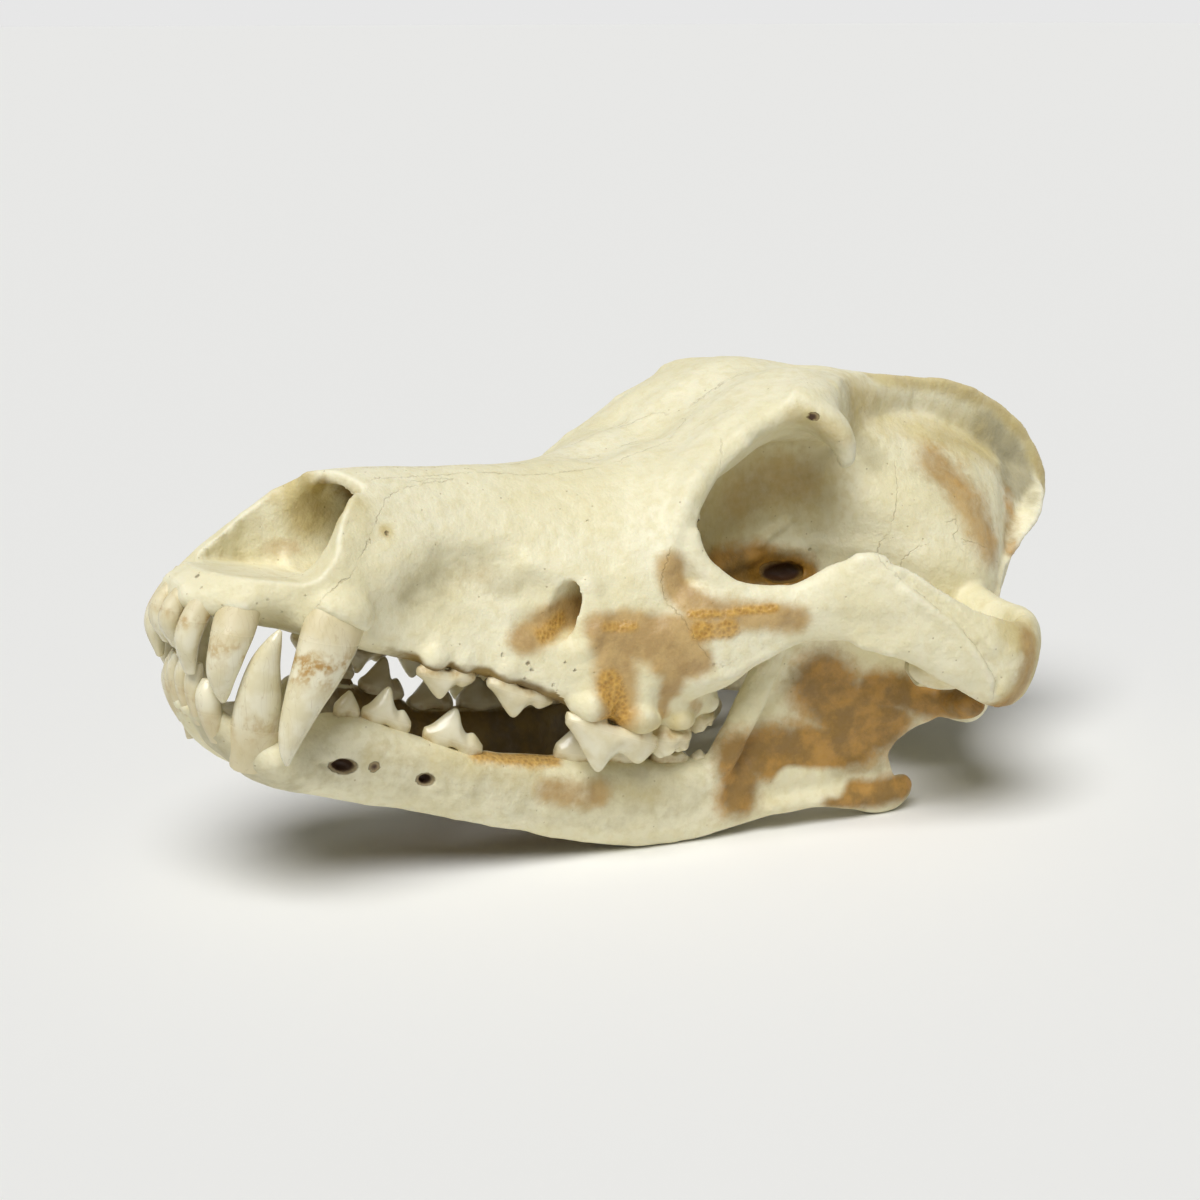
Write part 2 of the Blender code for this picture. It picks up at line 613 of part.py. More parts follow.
def cranium_cutters():
    """The spaces that run into or through the cranium."""
    cutters = nose_cutters() + [
        ellipsoid("foramen magnum", (256, 0, 12), (16, 9.5, 8)),
        body("palate vault", PALATE_VAULT, 30),
        body("choanae", CHOANAE, 20),
    ]
    for side in (LEFT, RIGHT):
        cutters.append(tube("infraorbital canal", mirrored(INFRAORBITAL_CANAL, side), 20))
        cutters.append(tube("jaw bearing", mirrored(JAW_BEARING, side), 8, 24))
    return cutters


def make_cranium():
    bone = fuse("cranium", cranium_pieces())
    soften(bone, 6)
    shape_cranium(bone)
    boolean(bone, cranium_cutters(), "DIFFERENCE")
    rebuild(bone)
    soften(bone, 3)
    return bone


# The lower jaw


def bend_jaw(bone, side):
    """Sets half a jaw, made flat, on its curve away from the midline."""
    places, _ = points_of(bone)
    spread = np.array(smooth_rows(JAW_SPREAD, 100))
    away = np.interp(places[:, 0], spread[:, 0], spread[:, 1])
    places[:, 1] = side * (away + places[:, 1] + JAW_LEAN * (places[:, 2] - JAW_LEVEL))
    place_points(bone, places)
    if side < 0:
        bone.data.flip_normals()


def make_jaw(name, side):
    pieces = [
        body("jaw body", JAW_BODY, 60),
        plate("ramus", RAMUS, 1.9),
        tube("ramus ridge", RAMUS_RIDGE),
        tube("angular process", ANGULAR_PROCESS),
        tube("condyle neck", CONDYLE_NECK),
        tube("jaw condyle", CONDYLE, up=(0, 0, 1)),
    ]
    bone = fuse(f"mandible_{name}", pieces)
    soften(bone, 6)
    # the hollow for the chewing muscle, and the dip inside it
    stroke(bone, [(158, 4, -22), (164, 4, -8), (167, 4, 4)], 17, -1.3, facing=(0, 1, 0))
    stroke(bone, [(170, -4, -12)], 14, -0.7, facing=(0, -1, 0))
    stroke(bone, [(22, 8, -32), (30, 7, -36)], 9, 1.2, facing=(0, 1, 0))
    bend_jaw(bone, side)
    across = sorted((-60 * side, GAP / 2 * side))
    boolean(bone, [box("other half", (-20, across[0], -60), (80, across[1], 0))], "DIFFERENCE")
    return bone


# Teeth


def front_tooth(name, path, side, facing, sides=8, count=7):
    """An incisor or a canine: a tapering tube from its root to its tip."""
    turn = math.radians(facing)
    outwards = (-math.cos(turn), side * math.sin(turn), 0)
    return tube(name, mirrored(path, side), count, sides, up=outwards)


def cheek_tooth(name, row, side, way):
    """A tooth with cusps, lofted along its length. way is 1 for a tooth that stands up, -1 for one that hangs."""
    x, y, z, length, width, height, turn, slope, form = row
    cusps, outside, inside, edge, low_side = TOOTH_FORMS[form]
    turn, slope = math.radians(turn), math.radians(slope)
    rings = []
    for share, cusp in cusps:
        along = (share - 0.5) * length
        round_off = (1 - abs(2 * share - 1) ** 3) ** 0.5
        half = width / 2 * (0.45 + 0.55 * round_off)
        tall = height * cusp
        ring = []
        for across, up in (
            (-0.6, -ROOT), (0.6, -ROOT), (0.9, 0), (1.0, 0.3 * tall), (outside + edge * 0.3, 0.75 * tall),
            (edge, tall), (edge * 0.4 - inside, low_side * tall), (-1.0, 0.3 * low_side * tall), (-0.9, 0),
        ):
            outwards = across * half
            ring.append((
                x + along * math.cos(turn) - outwards * math.sin(turn),
                side * (y + along * math.sin(turn) + outwards * math.cos(turn)),
                z + along * math.tan(slope) + way * up,
            ))
        rings.append(ring)
    return loft(name, rings)


def teeth(jaw, sides, front, cheek, way):
    """The teeth of the upper or the lower jaw on the given sides."""
    made = []
    for side_name in sides:
        side = SIDES[side_name]
        for name, path in front.items():
            made.append(front_tooth(f"{name} {side_name}", path, side, FACING[name]))
        for name, *row in cheek:
            if (jaw, name, side_name) not in MISSING_TEETH:
                made.append(cheek_tooth(f"{name} {side_name}", row, side, way))
    return made


# Putting the skull together


def slab(name, centre, size, turn_y=0.0):
    """A thin cut through the bone, square to x before it is turned about y, in degrees."""
    mesh = bmesh.new()
    bmesh.ops.create_cube(mesh, size=1)
    turn = Matrix.Rotation(math.radians(turn_y), 4, "Y")
    mesh.transform(Matrix.Translation(centre) @ turn @ Matrix.Diagonal((*size, 1)))
    return new_object(name, mesh)


def part_cranium(cranium):
    """Cuts the cranium into the muzzle, the braincase and the two cheek arches."""
    top, foot = FACE_CUT
    lean = math.degrees(math.atan2(top[0] - foot[0], top[1] - foot[1]))
    middle = ((top[0] + foot[0]) / 2, 0, (top[1] + foot[1]) / 2)
    cuts = [slab("face cut", middle, (GAP, 300, 300), lean)]
    for side in (LEFT, RIGHT):
        cuts.append(box("arch cut", *sorted_corners((180, side * ARCH_CUT, -20), (240, side * (ARCH_CUT + GAP), 60))))
    boolean(cranium, cuts, "DIFFERENCE")
    nodes = {}
    for piece in bodies_of(cranium):
        places, _ = points_of(piece)
        middle = (places.min(axis=0) + places.max(axis=0)) / 2
        if middle[0] < 90:
            name = "muzzle"
        elif abs(middle[1]) < 20:
            name = "braincase"
        else:
            name = "zygomatic_arch_" + ("left" if middle[1] < 0 else "right")
        if name in nodes:
            bpy.data.objects.remove(piece)
        else:
            piece.name = name
            nodes[name] = piece
    return nodes


def sorted_corners(one, other):
    return tuple(map(min, one, other)), tuple(map(max, one, other))


def keep_largest(obj):
    """Leaves only the largest closed surface of an object and returns it."""
    name = obj.name
    kept, *rest = bodies_of(obj)
    for scrap in rest:
        bpy.data.objects.remove(scrap)
    kept.name = name
    return kept


def bone_material(name):
    """Dry bone, the same on every part but in a material of its own."""
    material = bpy.data.materials.new(f"{name} bone")
    material.use_nodes = True
    shader = material.node_tree.nodes["Principled BSDF"]
    shader.inputs["Base Color"].default_value = BONE_COLOUR
    shader.inputs["Roughness"].default_value = BONE_ROUGHNESS
    shader.inputs["Metallic"].default_value = 0.0
    return material


def stand_on_floor(nodes):
    """Sets the skull on the ground as it rests, on small flats at the jaw's lowest places."""
    pose = bpy.data.objects.new("pose", None)
    bpy.context.scene.collection.objects.link(pose)
    turn = Matrix.Rotation(SNOUT_UP, 4, "Y")
    heights = {}
    for name, node in nodes.items():
        places, _ = points_of(node)
        heights[name] = (places @ np.array(turn.to_3x3()).T)[:, 2].min()
    floor = min(heights.values()) + FLAT_DEPTH
    for side_name in SIDES:
        low = slab("ground", (0, 0, 0), (600, 400, 100))
        low.data.transform(turn.inverted() @ Matrix.Translation((0, 0, (floor - 50) * MM)))
        boolean(nodes[f"mandible_{side_name}"], [low], "DIFFERENCE")
    corners = np.vstack([points_of(node)[0] @ np.array(turn.to_3x3()).T for node in nodes.values()])
    middle = (corners.min(axis=0) + corners.max(axis=0)) / 2
    pose.rotation_euler = (0, SNOUT_UP, 0)
    pose.location = (-middle[0] * MM, -middle[1] * MM, -floor * MM)
    for node in nodes.values():
        node.parent = pose


def main():
    for old in list(bpy.data.objects):
        bpy.data.objects.remove(old)
    cranium = make_cranium()
    thin_out(cranium, CRANIUM_TRIANGLES)
    nodes = part_cranium(cranium)
    boolean(nodes["muzzle"], teeth("upper", SIDES, UPPER_FRONT_TEETH, UPPER_CHEEK_TEETH, -1), "UNION")
    for name, side in SIDES.items():
        jaw = make_jaw(name, side)
        thin_out(jaw, JAW_TRIANGLES)
        boolean(jaw, teeth("lower", [name], LOWER_FRONT_TEETH, LOWER_CHEEK_TEETH, 1), "UNION")
        nodes[jaw.name] = jaw
    stand_on_floor(nodes)
    group = bpy.data.collections.new("wolf_skull")
    bpy.context.scene.collection.children.link(group)
    for name in list(nodes):
        node = keep_largest(nodes[name])
        node.data.materials.clear()
        node.data.materials.append(bone_material(name))
        node.data.shade_smooth()
        node.data.set_sharp_from_angle(angle=math.radians(50))
        for old in list(node.users_collection):
            old.objects.unlink(node)
        group.objects.link(node)


main()
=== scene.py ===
# %% [markdown]
# # A wolf's skull, life size
# This notebook builds the skull of an adult wolf with its lower jaw closed, as it lies in a museum case.
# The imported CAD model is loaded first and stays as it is. It gives the place and the size of everything,
# and each piece made here stands for one of its nodes and moves with the same body.

import math

import bpy
import numpy as np
from mathutils import Matrix, Vector, noise
from mathutils.kdtree import KDTree


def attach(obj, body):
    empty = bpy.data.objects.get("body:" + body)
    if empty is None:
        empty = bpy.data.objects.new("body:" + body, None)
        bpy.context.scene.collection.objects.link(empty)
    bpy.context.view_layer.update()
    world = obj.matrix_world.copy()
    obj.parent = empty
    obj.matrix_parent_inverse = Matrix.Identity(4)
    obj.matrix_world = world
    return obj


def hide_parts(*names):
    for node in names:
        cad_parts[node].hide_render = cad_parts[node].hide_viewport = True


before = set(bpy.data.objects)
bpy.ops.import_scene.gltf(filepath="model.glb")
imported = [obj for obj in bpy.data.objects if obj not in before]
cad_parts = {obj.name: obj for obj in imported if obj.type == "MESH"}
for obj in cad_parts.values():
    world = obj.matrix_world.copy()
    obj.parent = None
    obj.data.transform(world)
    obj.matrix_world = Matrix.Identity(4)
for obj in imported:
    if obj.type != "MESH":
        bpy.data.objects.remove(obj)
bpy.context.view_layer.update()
bpy.ops.object.select_all(action="DESELECT")
print("CAD nodes:", sorted(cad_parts))

# %% [markdown]
# ## The frame that the bone is modelled in
# A skull is easiest to measure along its own axis: x runs back from the front incisors, y goes out from
# the midline and z goes up, all in millimetres. Every piece is modelled there and is set in its place
# at the end: turned snout up by 13 degrees, as the curved jaw holds it, and made a thousand times smaller,
# because Blender and the CAD model count in metres.

# %% The place of the skull on the ground
MM = 0.001
SNOUT_UP = math.radians(13.0)
ON_GROUND = (-136.489, 0.095, 75.704)
SKULL_TO_WORLD = (
    Matrix.Scale(MM, 4) @ Matrix.Translation(ON_GROUND) @ Matrix.Rotation(SNOUT_UP, 4, "Y")
)
LEFT, RIGHT = -1, 1
SIDES = {"left": LEFT, "right": RIGHT}
print("the front incisors stand at", [round(v, 4) for v in SKULL_TO_WORLD @ Vector((0, 0, 0))])

# %% [markdown]
# ## Tables of the bones
# Each bone starts as plain tubes and lofts, and these are their cross-sections. A snout or a braincase
# could also be sculpted by eye, but a table keeps each width and height where it can be read and
# changed. A body's row is x, half width, height of the widest level, top, bottom, and how square
# it is above and below (2 is an ellipse). A path's row is x, y, z, half thickness and half height.

# %% Cross-sections of the cranium
SNOUT = (
    (-4, 7, 3.5, 6, 0.5, 2, 2), (0, 12.5, 4, 9, -1, 2.2, 3), (8, 17.5, 5, 16, -1.5, 2.2, 3),
    (18, 21.5, 6, 27, -2.5, 2.1, 3), (27, 24, 6, 34.5, -3.5, 2.1, 3), (38, 22.5, 4, 37.5, -5, 2.0, 3.5),
    (50, 22, 1, 39.3, -6.5, 2.0, 4), (65, 25, -1, 41.3, -7.5, 1.9, 4), (80, 30, -3, 43.5, -9.5, 1.9, 4),
    (95, 36, -6, 46.5, -13, 2.1, 4), (108, 40.5, -7, 51, -16.6, 2.5, 4), (118, 39.5, -6, 56, -17.6, 2.9, 4),
    (125, 35, -2, 58, -14, 3.1, 3),
)
ORBIT_CORE = (
    (98, 18, 15, 40, -8, 3, 3), (118, 15.5, 25, 52, -8, 3, 3), (135, 13, 30, 62, -7, 3, 3),
    (150, 12.5, 30, 70, -4, 3, 3), (165, 14.5, 35, 76, -1, 2.4, 3), (180, 18, 38, 78, 0, 1.8, 3),
)
FRONTAL_ROOF = (
    (98, 13, 40, 47, 32, 2.2, 2), (110, 18, 44, 51.5, 36, 2.4, 2), (121, 21.5, 49, 55.6, 42, 2.6, 2),
    (129, 24.5, 55.5, 62.6, 47, 2.8, 2), (138, 27, 64, 71, 53, 3.2, 2), (148, 29.4, 70.5, 78, 58, 3.4, 2),
    (158, 31, 73, 81.5, 60, 3.2, 2), (167, 26, 73, 82.5, 60, 2.5, 2), (178, 17, 72, 83, 58, 2.2, 2),
    (190, 9, 73, 83.5, 60, 2, 2), (202, 4.5, 75, 84, 66, 2, 2), (212, 2, 78, 84, 72, 2, 2),
)
VAULT = (
    (162, 13, 40, 76, 0, 2.2, 3), (176, 18.5, 40, 78, 1, 1.7, 3), (187, 23, 38, 77, 0, 1.45, 2.8),
    (199, 29, 36, 76, -1, 1.35, 2.6), (212, 33, 35, 76, -1, 1.35, 2.5), (224, 34, 33, 75, -1, 1.4, 2.5),
    (235, 29.5, 31, 73, 2, 1.5, 2.5), (245, 20.5, 34, 69, 9, 1.7, 2.2), (253, 14, 42, 66, 26, 1.9, 2.2),
    (261, 8, 50, 64, 40, 2, 2), (269, 3, 57, 63, 50, 2, 2),
)
SKULL_BASE = (
    (140, 12, 0, 5, -4, 3, 3), (170, 12, 2, 8, -2, 3, 3), (200, 14, 2, 9, -2, 3, 3),
    (235, 15, 3, 10, -1, 3, 3), (249, 13, 5, 14, 1, 2, 2),
)
CREST = (
    (176, 60), (182, 82), (196, 83.7), (208, 84.7), (223, 86), (236, 85.3), (248, 82.3), (258, 77.5),
    (266, 71.5), (272, 64.5), (274.5, 58), (273.5, 51.5), (266, 47), (255, 44), (240, 42), (200, 50),
)
ARCH = (
    (112, 33, 4, 9, 13), (124, 39, 10, 8, 15), (134, 44, 15.5, 5.5, 12), (146, 50, 20.5, 4, 8),
    (157, 55.5, 26, 3.6, 11), (164, 59, 26.5, 3.6, 12), (176, 64, 23, 3.6, 10.5), (190, 68, 18.5, 4.2, 10.5),
    (203, 69, 16, 5.0, 12), (213, 64, 17, 5.5, 12), (219, 54, 19, 6.0, 11), (221, 42, 20, 7.0, 11),
    (221, 30, 21, 8.0, 11),
)
ORBIT_RIM = (
    (112, 33, 24, 5, 6), (115, 33, 35, 4, 5), (119.5, 30.5, 46.5, 3.4, 4.3), (128.5, 28.5, 57, 3.0, 3.3),
    (140, 28, 66.5, 3.2, 3.4), (152, 28, 72, 5, 5),
)
ORBIT_CORNER = (
    (117.5, 35, 36, 3, 3), (119.5, 36.8, 30.5, 3.2, 3.2), (123.5, 39, 26.5, 3.3, 3.3),
    (130, 43, 24, 3.2, 3.2), (138, 47, 23.5, 3, 3),
)
BROW = (
    (108, 24, 32, 8, 8), (118, 23.5, 43, 7, 7), (127, 22, 53, 6.5, 6.5), (138, 21.5, 63, 6.5, 6.5),
    (150, 22, 70, 6.5, 6.5),
)
ORBIT_PROCESS = (
    (150, 23, 73, 10, 7), (156, 28, 71, 8.5, 5.5), (162, 33.5, 66, 5.2, 3.8), (165, 36, 59.5, 2.2, 1.9),
)
NUCHAL_CREST = (
    (267, -1, 58.5, 2.2, 5), (260, 7, 55.5, 2.0, 6), (251, 14.5, 49.5, 1.8, 6.5),
    (238.5, 20.5, 39.5, 1.8, 6.5), (230.5, 26, 31, 2.2, 6.5), (228.5, 29.5, 21, 3.0, 6),
    (229, 32, 12, 4.0, 5), (231, 33, 4, 3.5, 4),
)
PTERYGOID = (
    (136, 11, -6, 1.8, 5), (152, 10.5, -3, 1.6, 6), (166, 10, -2.5, 1.6, 7), (176, 10, -3, 1.6, 6),
    (182, 10.5, -6, 1.5, 2.5),
)
JUGULAR_PROCESS = ((237, 24, 12, 6, 6), (236, 26, 1, 5, 4), (235, 27, -7, 2.2, 2))
NASAL_TUNNEL = (
    (20, 10.5, 20, 30, 9.5, 2.4, 2.4), (30, 11.0, 21, 32, 9.5, 2.4, 2.4), (38, 10.5, 21, 34, 10, 2.4, 2.4),
    (55, 9.5, 21, 34.5, 12, 2.4, 2.4), (80, 7, 22, 32, 14, 2.4, 2.4),
)
PALATE_VAULT = (
    (4, 7, -12, -3.5, -34, 2, 2), (20, 10, -14, -2, -34, 2, 2), (45, 13, -15, -2.5, -34, 2.2, 2),
    (75, 19, -18, -4.5, -34, 2.6, 2), (98, 29, -22, -8.5, -34, 3, 2), (112, 30.5, -22, -9, -34, 3, 2),
    (124, 23, -19, -8, -34, 2.6, 2), (146, 17, -15, -6, -34, 2.4, 2),
)
CHOANAE = (
    (128, 7, -5, 1, -16, 2, 2), (142, 8.5, -4, 4, -16, 2.2, 2), (165, 8.3, -4, 3, -16, 2.2, 2),
    (190, 8, -6, -1, -16, 2.2, 2),
)
INFRAORBITAL_CANAL = (
    (64, 34.5, 8, 3.2, 8), (76, 32.6, 9.8, 3.2, 8.2), (86, 30.4, 11.8, 3.2, 8.2), (97, 27, 14, 2.6, 6),
    (112, 24.5, 16, 2.5, 4),
)
JAW_BEARING = ((203.3, 36, 0.5, 6.2, 5.9), (203.3, 52, 1.6, 6.2, 5.9), (202.6, 68, 3.0, 6.0, 5.7))
print("cranium:", len(SNOUT) + len(VAULT) + len(ARCH), "main stations")

# %% [markdown]
# The nose opening is cut with three outlines: one seen from above, and one from each side that follows
# the rim down to the incisors. The left rim's thin upper edge is broken away, so it lies further back.

# %% Outlines of the nose opening
NOSE_FROM_ABOVE = (
    (28, 8), (29, 10.5), (25, 12.3), (18, 12.8), (10, 11.5), (3, 8.5), (-4, 4.5), (-9, 0), (-4, -4.5),
    (3, -8.5), (10, -11.5), (18, -12.8), (25, -12.8), (31, -12), (36.5, -10.5), (37, -9), (35, -5),
    (32.5, 0), (30, 5),
)
RIGHT_RIM = ((-12, 2), (2, 3), (4, 7), (7, 11.3), (12, 15.3), (18, 21.5), (23.6, 27.4), (28.5, 33))
LEFT_RIM = (
    (-12, 8.5), (4, 9.8), (13, 10.6), (20, 11.2), (23, 13), (25, 15.8), (26.6, 18), (27.3, 20), (27.6, 22.5),
    (28.5, 25), (30.0, 28), (31.5, 30), (36.5, 35.5),
)
NOSE_FLOOR, ABOVE_NOSE = 9.5, 60
print("nose opening:", len(NOSE_FROM_ABOVE), "points from above")

# %% [markdown]
# ## Tables of the lower jaw
# Half the jaw is a flat board with a rounded lower edge, which is then bent away from the midline.
# So it is easier to make it flat, where its outline can be read off a side view, and to bend it after.

# %% Outlines and sections of half a jaw
RAMUS = (
    (128, -40), (138, -30), (143, -14), (146.5, 1), (150, 13), (156, 25), (163, 33), (171, 36.5),
    (179, 35), (184.5, 28), (187, 18), (190, 8), (196, 2), (201, -2), (198.5, -7), (193.5, -11.5),
    (191.5, -16), (194, -20.5), (197, -24), (195, -30), (188, -32), (175, -32.3), (162, -35.5), (148, -41.5),
)
JAW_BODY = (
    (4.5, 3.4, -23, -20, -26, 2, 2), (8, 6, -26, -21.5, -31, 2.5, 2), (14, 9, -30.5, -25, -36, 2.6, 2.2),
    (21, 10.5, -32.5, -26.8, -40, 2.6, 2.2), (30, 9.6, -33, -25, -42.3, 2.6, 2.2),
    (42, 7.4, -33, -21.8, -43.5, 2.8, 2.2), (55, 6.0, -34.5, -23.8, -44.2, 3, 2.2),
    (70, 5.6, -36.5, -27, -45, 3, 2.2), (88, 5.8, -37.5, -27, -46.8, 3, 2.2),
    (105, 6.2, -38, -26, -48.3, 3, 2.2), (122, 6.2, -38, -25, -49, 3, 2.2),
    (136, 5.6, -36, -23, -46.5, 3, 2.2), (148, 4.6, -33, -21, -42, 3, 2.2),
    (160, 3.2, -29, -19, -37, 3, 2.2), (174, 1.5, -26, -18, -33, 2.5, 2.2),
)
RAMUS_RIDGE = (
    (134, 1.5, -34, 4.5, 4.5), (142, 2, -22, 3.6, 3.6), (146.5, 2.2, -4, 3.4, 3.2), (150, 2.2, 12, 3.2, 2.8),
    (158, 1.6, 26, 2.8, 2.4), (167, 0.6, 33.5, 2.2, 2.2),
)
ANGULAR_PROCESS = (
    (158, 1, -34, 3.0, 2.8), (174, 1, -29.6, 2.6, 3.0), (186, 0.5, -29.1, 3.0, 4.0),
    (194, 0, -28.6, 3.4, 4.8), (199, -0.5, -25.4, 2.8, 4), (201.5, -1, -23, 1.6, 2.2),
)
CONDYLE_NECK = (
    (168, 0, 6, 1.4, 13), (180, 0.6, 1.5, 2.8, 11), (191, 1.2, -2, 3.2, 7), (200, 2.5, -0.5, 4.2, 4.5),
)
CONDYLE = (
    (203, -6, 0.2, 3.0, 3.2), (203.3, -2, 0.8, 4.6, 4.4), (203.3, 6, 1.4, 5.2, 4.8),
    (202.6, 13, 2.2, 4.4, 4.2), (202, 16.5, 2.5, 2.6, 2.6),
)
JAW_SPREAD = (
    (0, 2.5), (5, 3.4), (8, 5.4), (14, 8.2), (21, 9.6), (30, 9.3), (42, 11.5), (55, 15.5), (70, 19.5),
    (88, 23.0), (105, 26.0), (122, 28.5), (140, 32.5), (160, 37.0), (180, 41.0), (200, 44.0), (215, 46.0),
)
JAW_LEAN, JAW_LEVEL = 0.06, -38
CHIN_GAP = 0.15
print("half a jaw:", len(JAW_BODY), "stations")

# %% [markdown]
# ## Tools of the modelling bench
# A few small helpers do what the hands do: choose an object, use a modifier up, skin a row of rings,
# and join or cut. A smooth curve through each table's rows gives the rings between them.

# %% Choosing objects and using modifiers up
def choose(*objects):
    """Leaves these objects selected and nothing else, with the first one active."""
    bpy.ops.object.select_all(action="DESELECT")
    for obj in objects:
        obj.select_set(True)
    bpy.context.view_layer.objects.active = objects[0]


def use_modifier(obj, kind, **settings):
    """Adds a modifier with its settings and applies it."""
    choose(obj)
    step = obj.modifiers.new(kind.title(), kind)
    for name, value in settings.items():
        setattr(step, name, value)
    bpy.ops.object.modifier_apply(modifier=step.name)


def smooth_rows(rows, count):
    """Rows of a table read at an even spacing along a Catmull-Rom curve."""
    rows = np.array(rows, float)
    padded = np.vstack([2 * rows[0] - rows[1], rows, 2 * rows[-1] - rows[-2]])
    found = []
    for place in np.linspace(0, len(rows) - 1, count):
        k = min(int(place), len(rows) - 2)
        t = place - k
        a, b, c, d = padded[k : k + 4]
        curve = (c - a) * t + (2 * a - 5 * b + 4 * c - d) * t**2 + (3 * b - a - 3 * c + d) * t**3
        found.append(b + curve / 2)
    return np.array(found)


print("the snout's middle station is", smooth_rows(SNOUT, 3)[1].round(1))

# %% [markdown]
# A loft starts as a flat grid. Its rows are laid on the rings, its two long edges meet and are merged,
# and the open ends are filled. Blender has no loft of its own, and this way the skin is one closed piece.

# %% Lofts, tubes and round lumps
def loft(name, rings):
    """A closed skin through rings of points that run the same way round."""
    rings = np.array(rings, float)
    laid = np.concatenate([rings, rings[:, :1]], axis=1)
    rows, columns = laid.shape[:2]
    bpy.ops.mesh.primitive_grid_add(x_subdivisions=columns - 1, y_subdivisions=rows - 1)
    skin = bpy.context.object
    skin.name = name
    skin.data.vertices.foreach_set("co", laid.astype(np.float32).ravel())
    skin.data.update()
    bpy.ops.object.mode_set(mode="EDIT")
    bpy.ops.mesh.select_all(action="SELECT")
    bpy.ops.mesh.remove_doubles(threshold=1e-4)
    bpy.ops.mesh.fill_holes(sides=0)
    bpy.ops.mesh.select_all(action="SELECT")
    bpy.ops.mesh.normals_make_consistent(inside=False)
    bpy.ops.object.mode_set(mode="OBJECT")
    return skin


def section(x, half_width, wide_z, top, bottom, top_power, bottom_power, sides=48):
    """An outline across the skull: a superellipse above its widest level and another below it."""
    turn = 2 * np.pi * np.arange(sides) / sides
    across, up = np.cos(turn), np.sin(turn)
    power = np.where(up >= 0, 2 / top_power, 2 / bottom_power)
    reach = np.where(up >= 0, top - wide_z, wide_z - bottom)
    y = half_width * np.sign(across) * np.abs(across) ** power
    z = wide_z + reach * np.sign(up) * np.abs(up) ** power
    return np.column_stack([np.full(sides, x), y, z])


def body(name, stations, count=60):
    return loft(name, [section(*row) for row in smooth_rows(stations, count)])


def tube(name, stations, count=50, sides=24, up=(0, 0, 1)):
    """A loft along a path, with oval sections whose height lies along up."""
    rows = smooth_rows(stations, count)
    centres = rows[:, :3]
    turns = np.linspace(0, 2 * math.pi, sides, endpoint=False)[:, None]
    rings = []
    for row, centre, ahead in zip(rows, centres, np.gradient(centres, axis=0)):
        out = np.cross(ahead, up)
        out = out / np.linalg.norm(out)
        high = np.cross(out, ahead / np.linalg.norm(ahead))
        rings.append(centre + out * row[3] * np.cos(turns) + high * row[4] * np.sin(turns))
    return loft(name, rings)


def ellipsoid(name, centre, radii, turn_y=0.0, turn_z=0.0):
    """A round lump. It may be turned about y and then about z, in degrees."""
    turned = (0, math.radians(turn_y), math.radians(turn_z))
    bpy.ops.mesh.primitive_uv_sphere_add(
        segments=40, ring_count=24, radius=1, location=centre, rotation=turned
    )
    lump = bpy.context.object
    lump.name = name
    lump.scale = radii
    bpy.ops.object.transform_apply(location=True, rotation=True, scale=True)
    return lump


def mirrored(stations, side):
    """Stations given for the right-hand side, set on the side that is asked for."""
    return [(row[0], side * row[1], *row[2:]) for row in stations]


trial = body("trial", SNOUT)
print("a trial snout has", len(trial.data.vertices), "points and", len(trial.data.polygons), "faces")
bpy.data.objects.remove(trial)

# %% [markdown]
# A board starts as a filled circle whose points are laid on the outline, and is extruded to its
# thickness. The crest, the jaw's upright part and the cutters of the nose are such boards.

# %% Boards, joining and cutting
def board(name, outline, start, thickness, axis):
    """A flat outline extruded along an axis: 1 for y, with x and z round its edge, or 2 for z."""
    bpy.ops.mesh.primitive_circle_add(vertices=len(outline), radius=1, fill_type="NGON")
    flat = bpy.context.object
    flat.name = name
    places = np.insert(np.array(outline, float), axis, start, axis=1)
    flat.data.vertices.foreach_set("co", places.astype(np.float32).ravel())
    flat.data.update()
    move = [0, 0, 0]
    move[axis] = thickness
    bpy.ops.object.mode_set(mode="EDIT")
    bpy.ops.mesh.select_all(action="SELECT")
    bpy.ops.mesh.extrude_region_move(TRANSFORM_OT_translate={"value": move})
    bpy.ops.mesh.select_all(action="SELECT")
    bpy.ops.mesh.normals_make_consistent(inside=False)
    bpy.ops.object.mode_set(mode="OBJECT")
    return flat


def block(name, low, high):
    """A cube between two corners, used only to cut with."""
    low, high = np.minimum(low, high), np.maximum(low, high)
    bpy.ops.mesh.primitive_cube_add(size=1, location=(low + high) / 2, scale=high - low)
    cutter = bpy.context.object
    cutter.name = name
    bpy.ops.object.transform_apply(location=True, rotation=True, scale=True)
    return cutter


def combine(obj, others, operation):
    """Joins other closed pieces to an object, or cuts with them, and then removes them."""
    group = bpy.data.collections.new(f"{obj.name} {operation.lower()}")
    for other in others:
        group.objects.link(other)
    settings = {"operand_type": "COLLECTION", "collection": group, "solver": "MANIFOLD"}
    use_modifier(obj, "BOOLEAN", operation=operation, **settings)
    for other in others:
        bpy.data.objects.remove(other)
    bpy.data.collections.remove(group)


def rebuild(bone, grain):
    """Remakes the surface in even squares of this size."""
    use_modifier(bone, "REMESH", mode="VOXEL", voxel_size=grain)


def fuse(name, pieces, grain):
    """Joins pieces into one bone with an even surface."""
    bone = pieces[0]
    combine(bone, pieces[1:], "UNION")
    rebuild(bone, grain)
    bone.name = name
    return bone


print("bench ready")

# %% [markdown]
# ## Modelling strokes
# What a sculptor does with a thumb is done here with strokes: the surface is raised or pressed in
# along a path, most in the middle and nothing at its radius. Sculpt mode needs a window, and strokes
# in code can be mirrored, measured and changed. Smoothing goes in pairs of steps, one in and one
# out, so that the bone doesn't shrink.

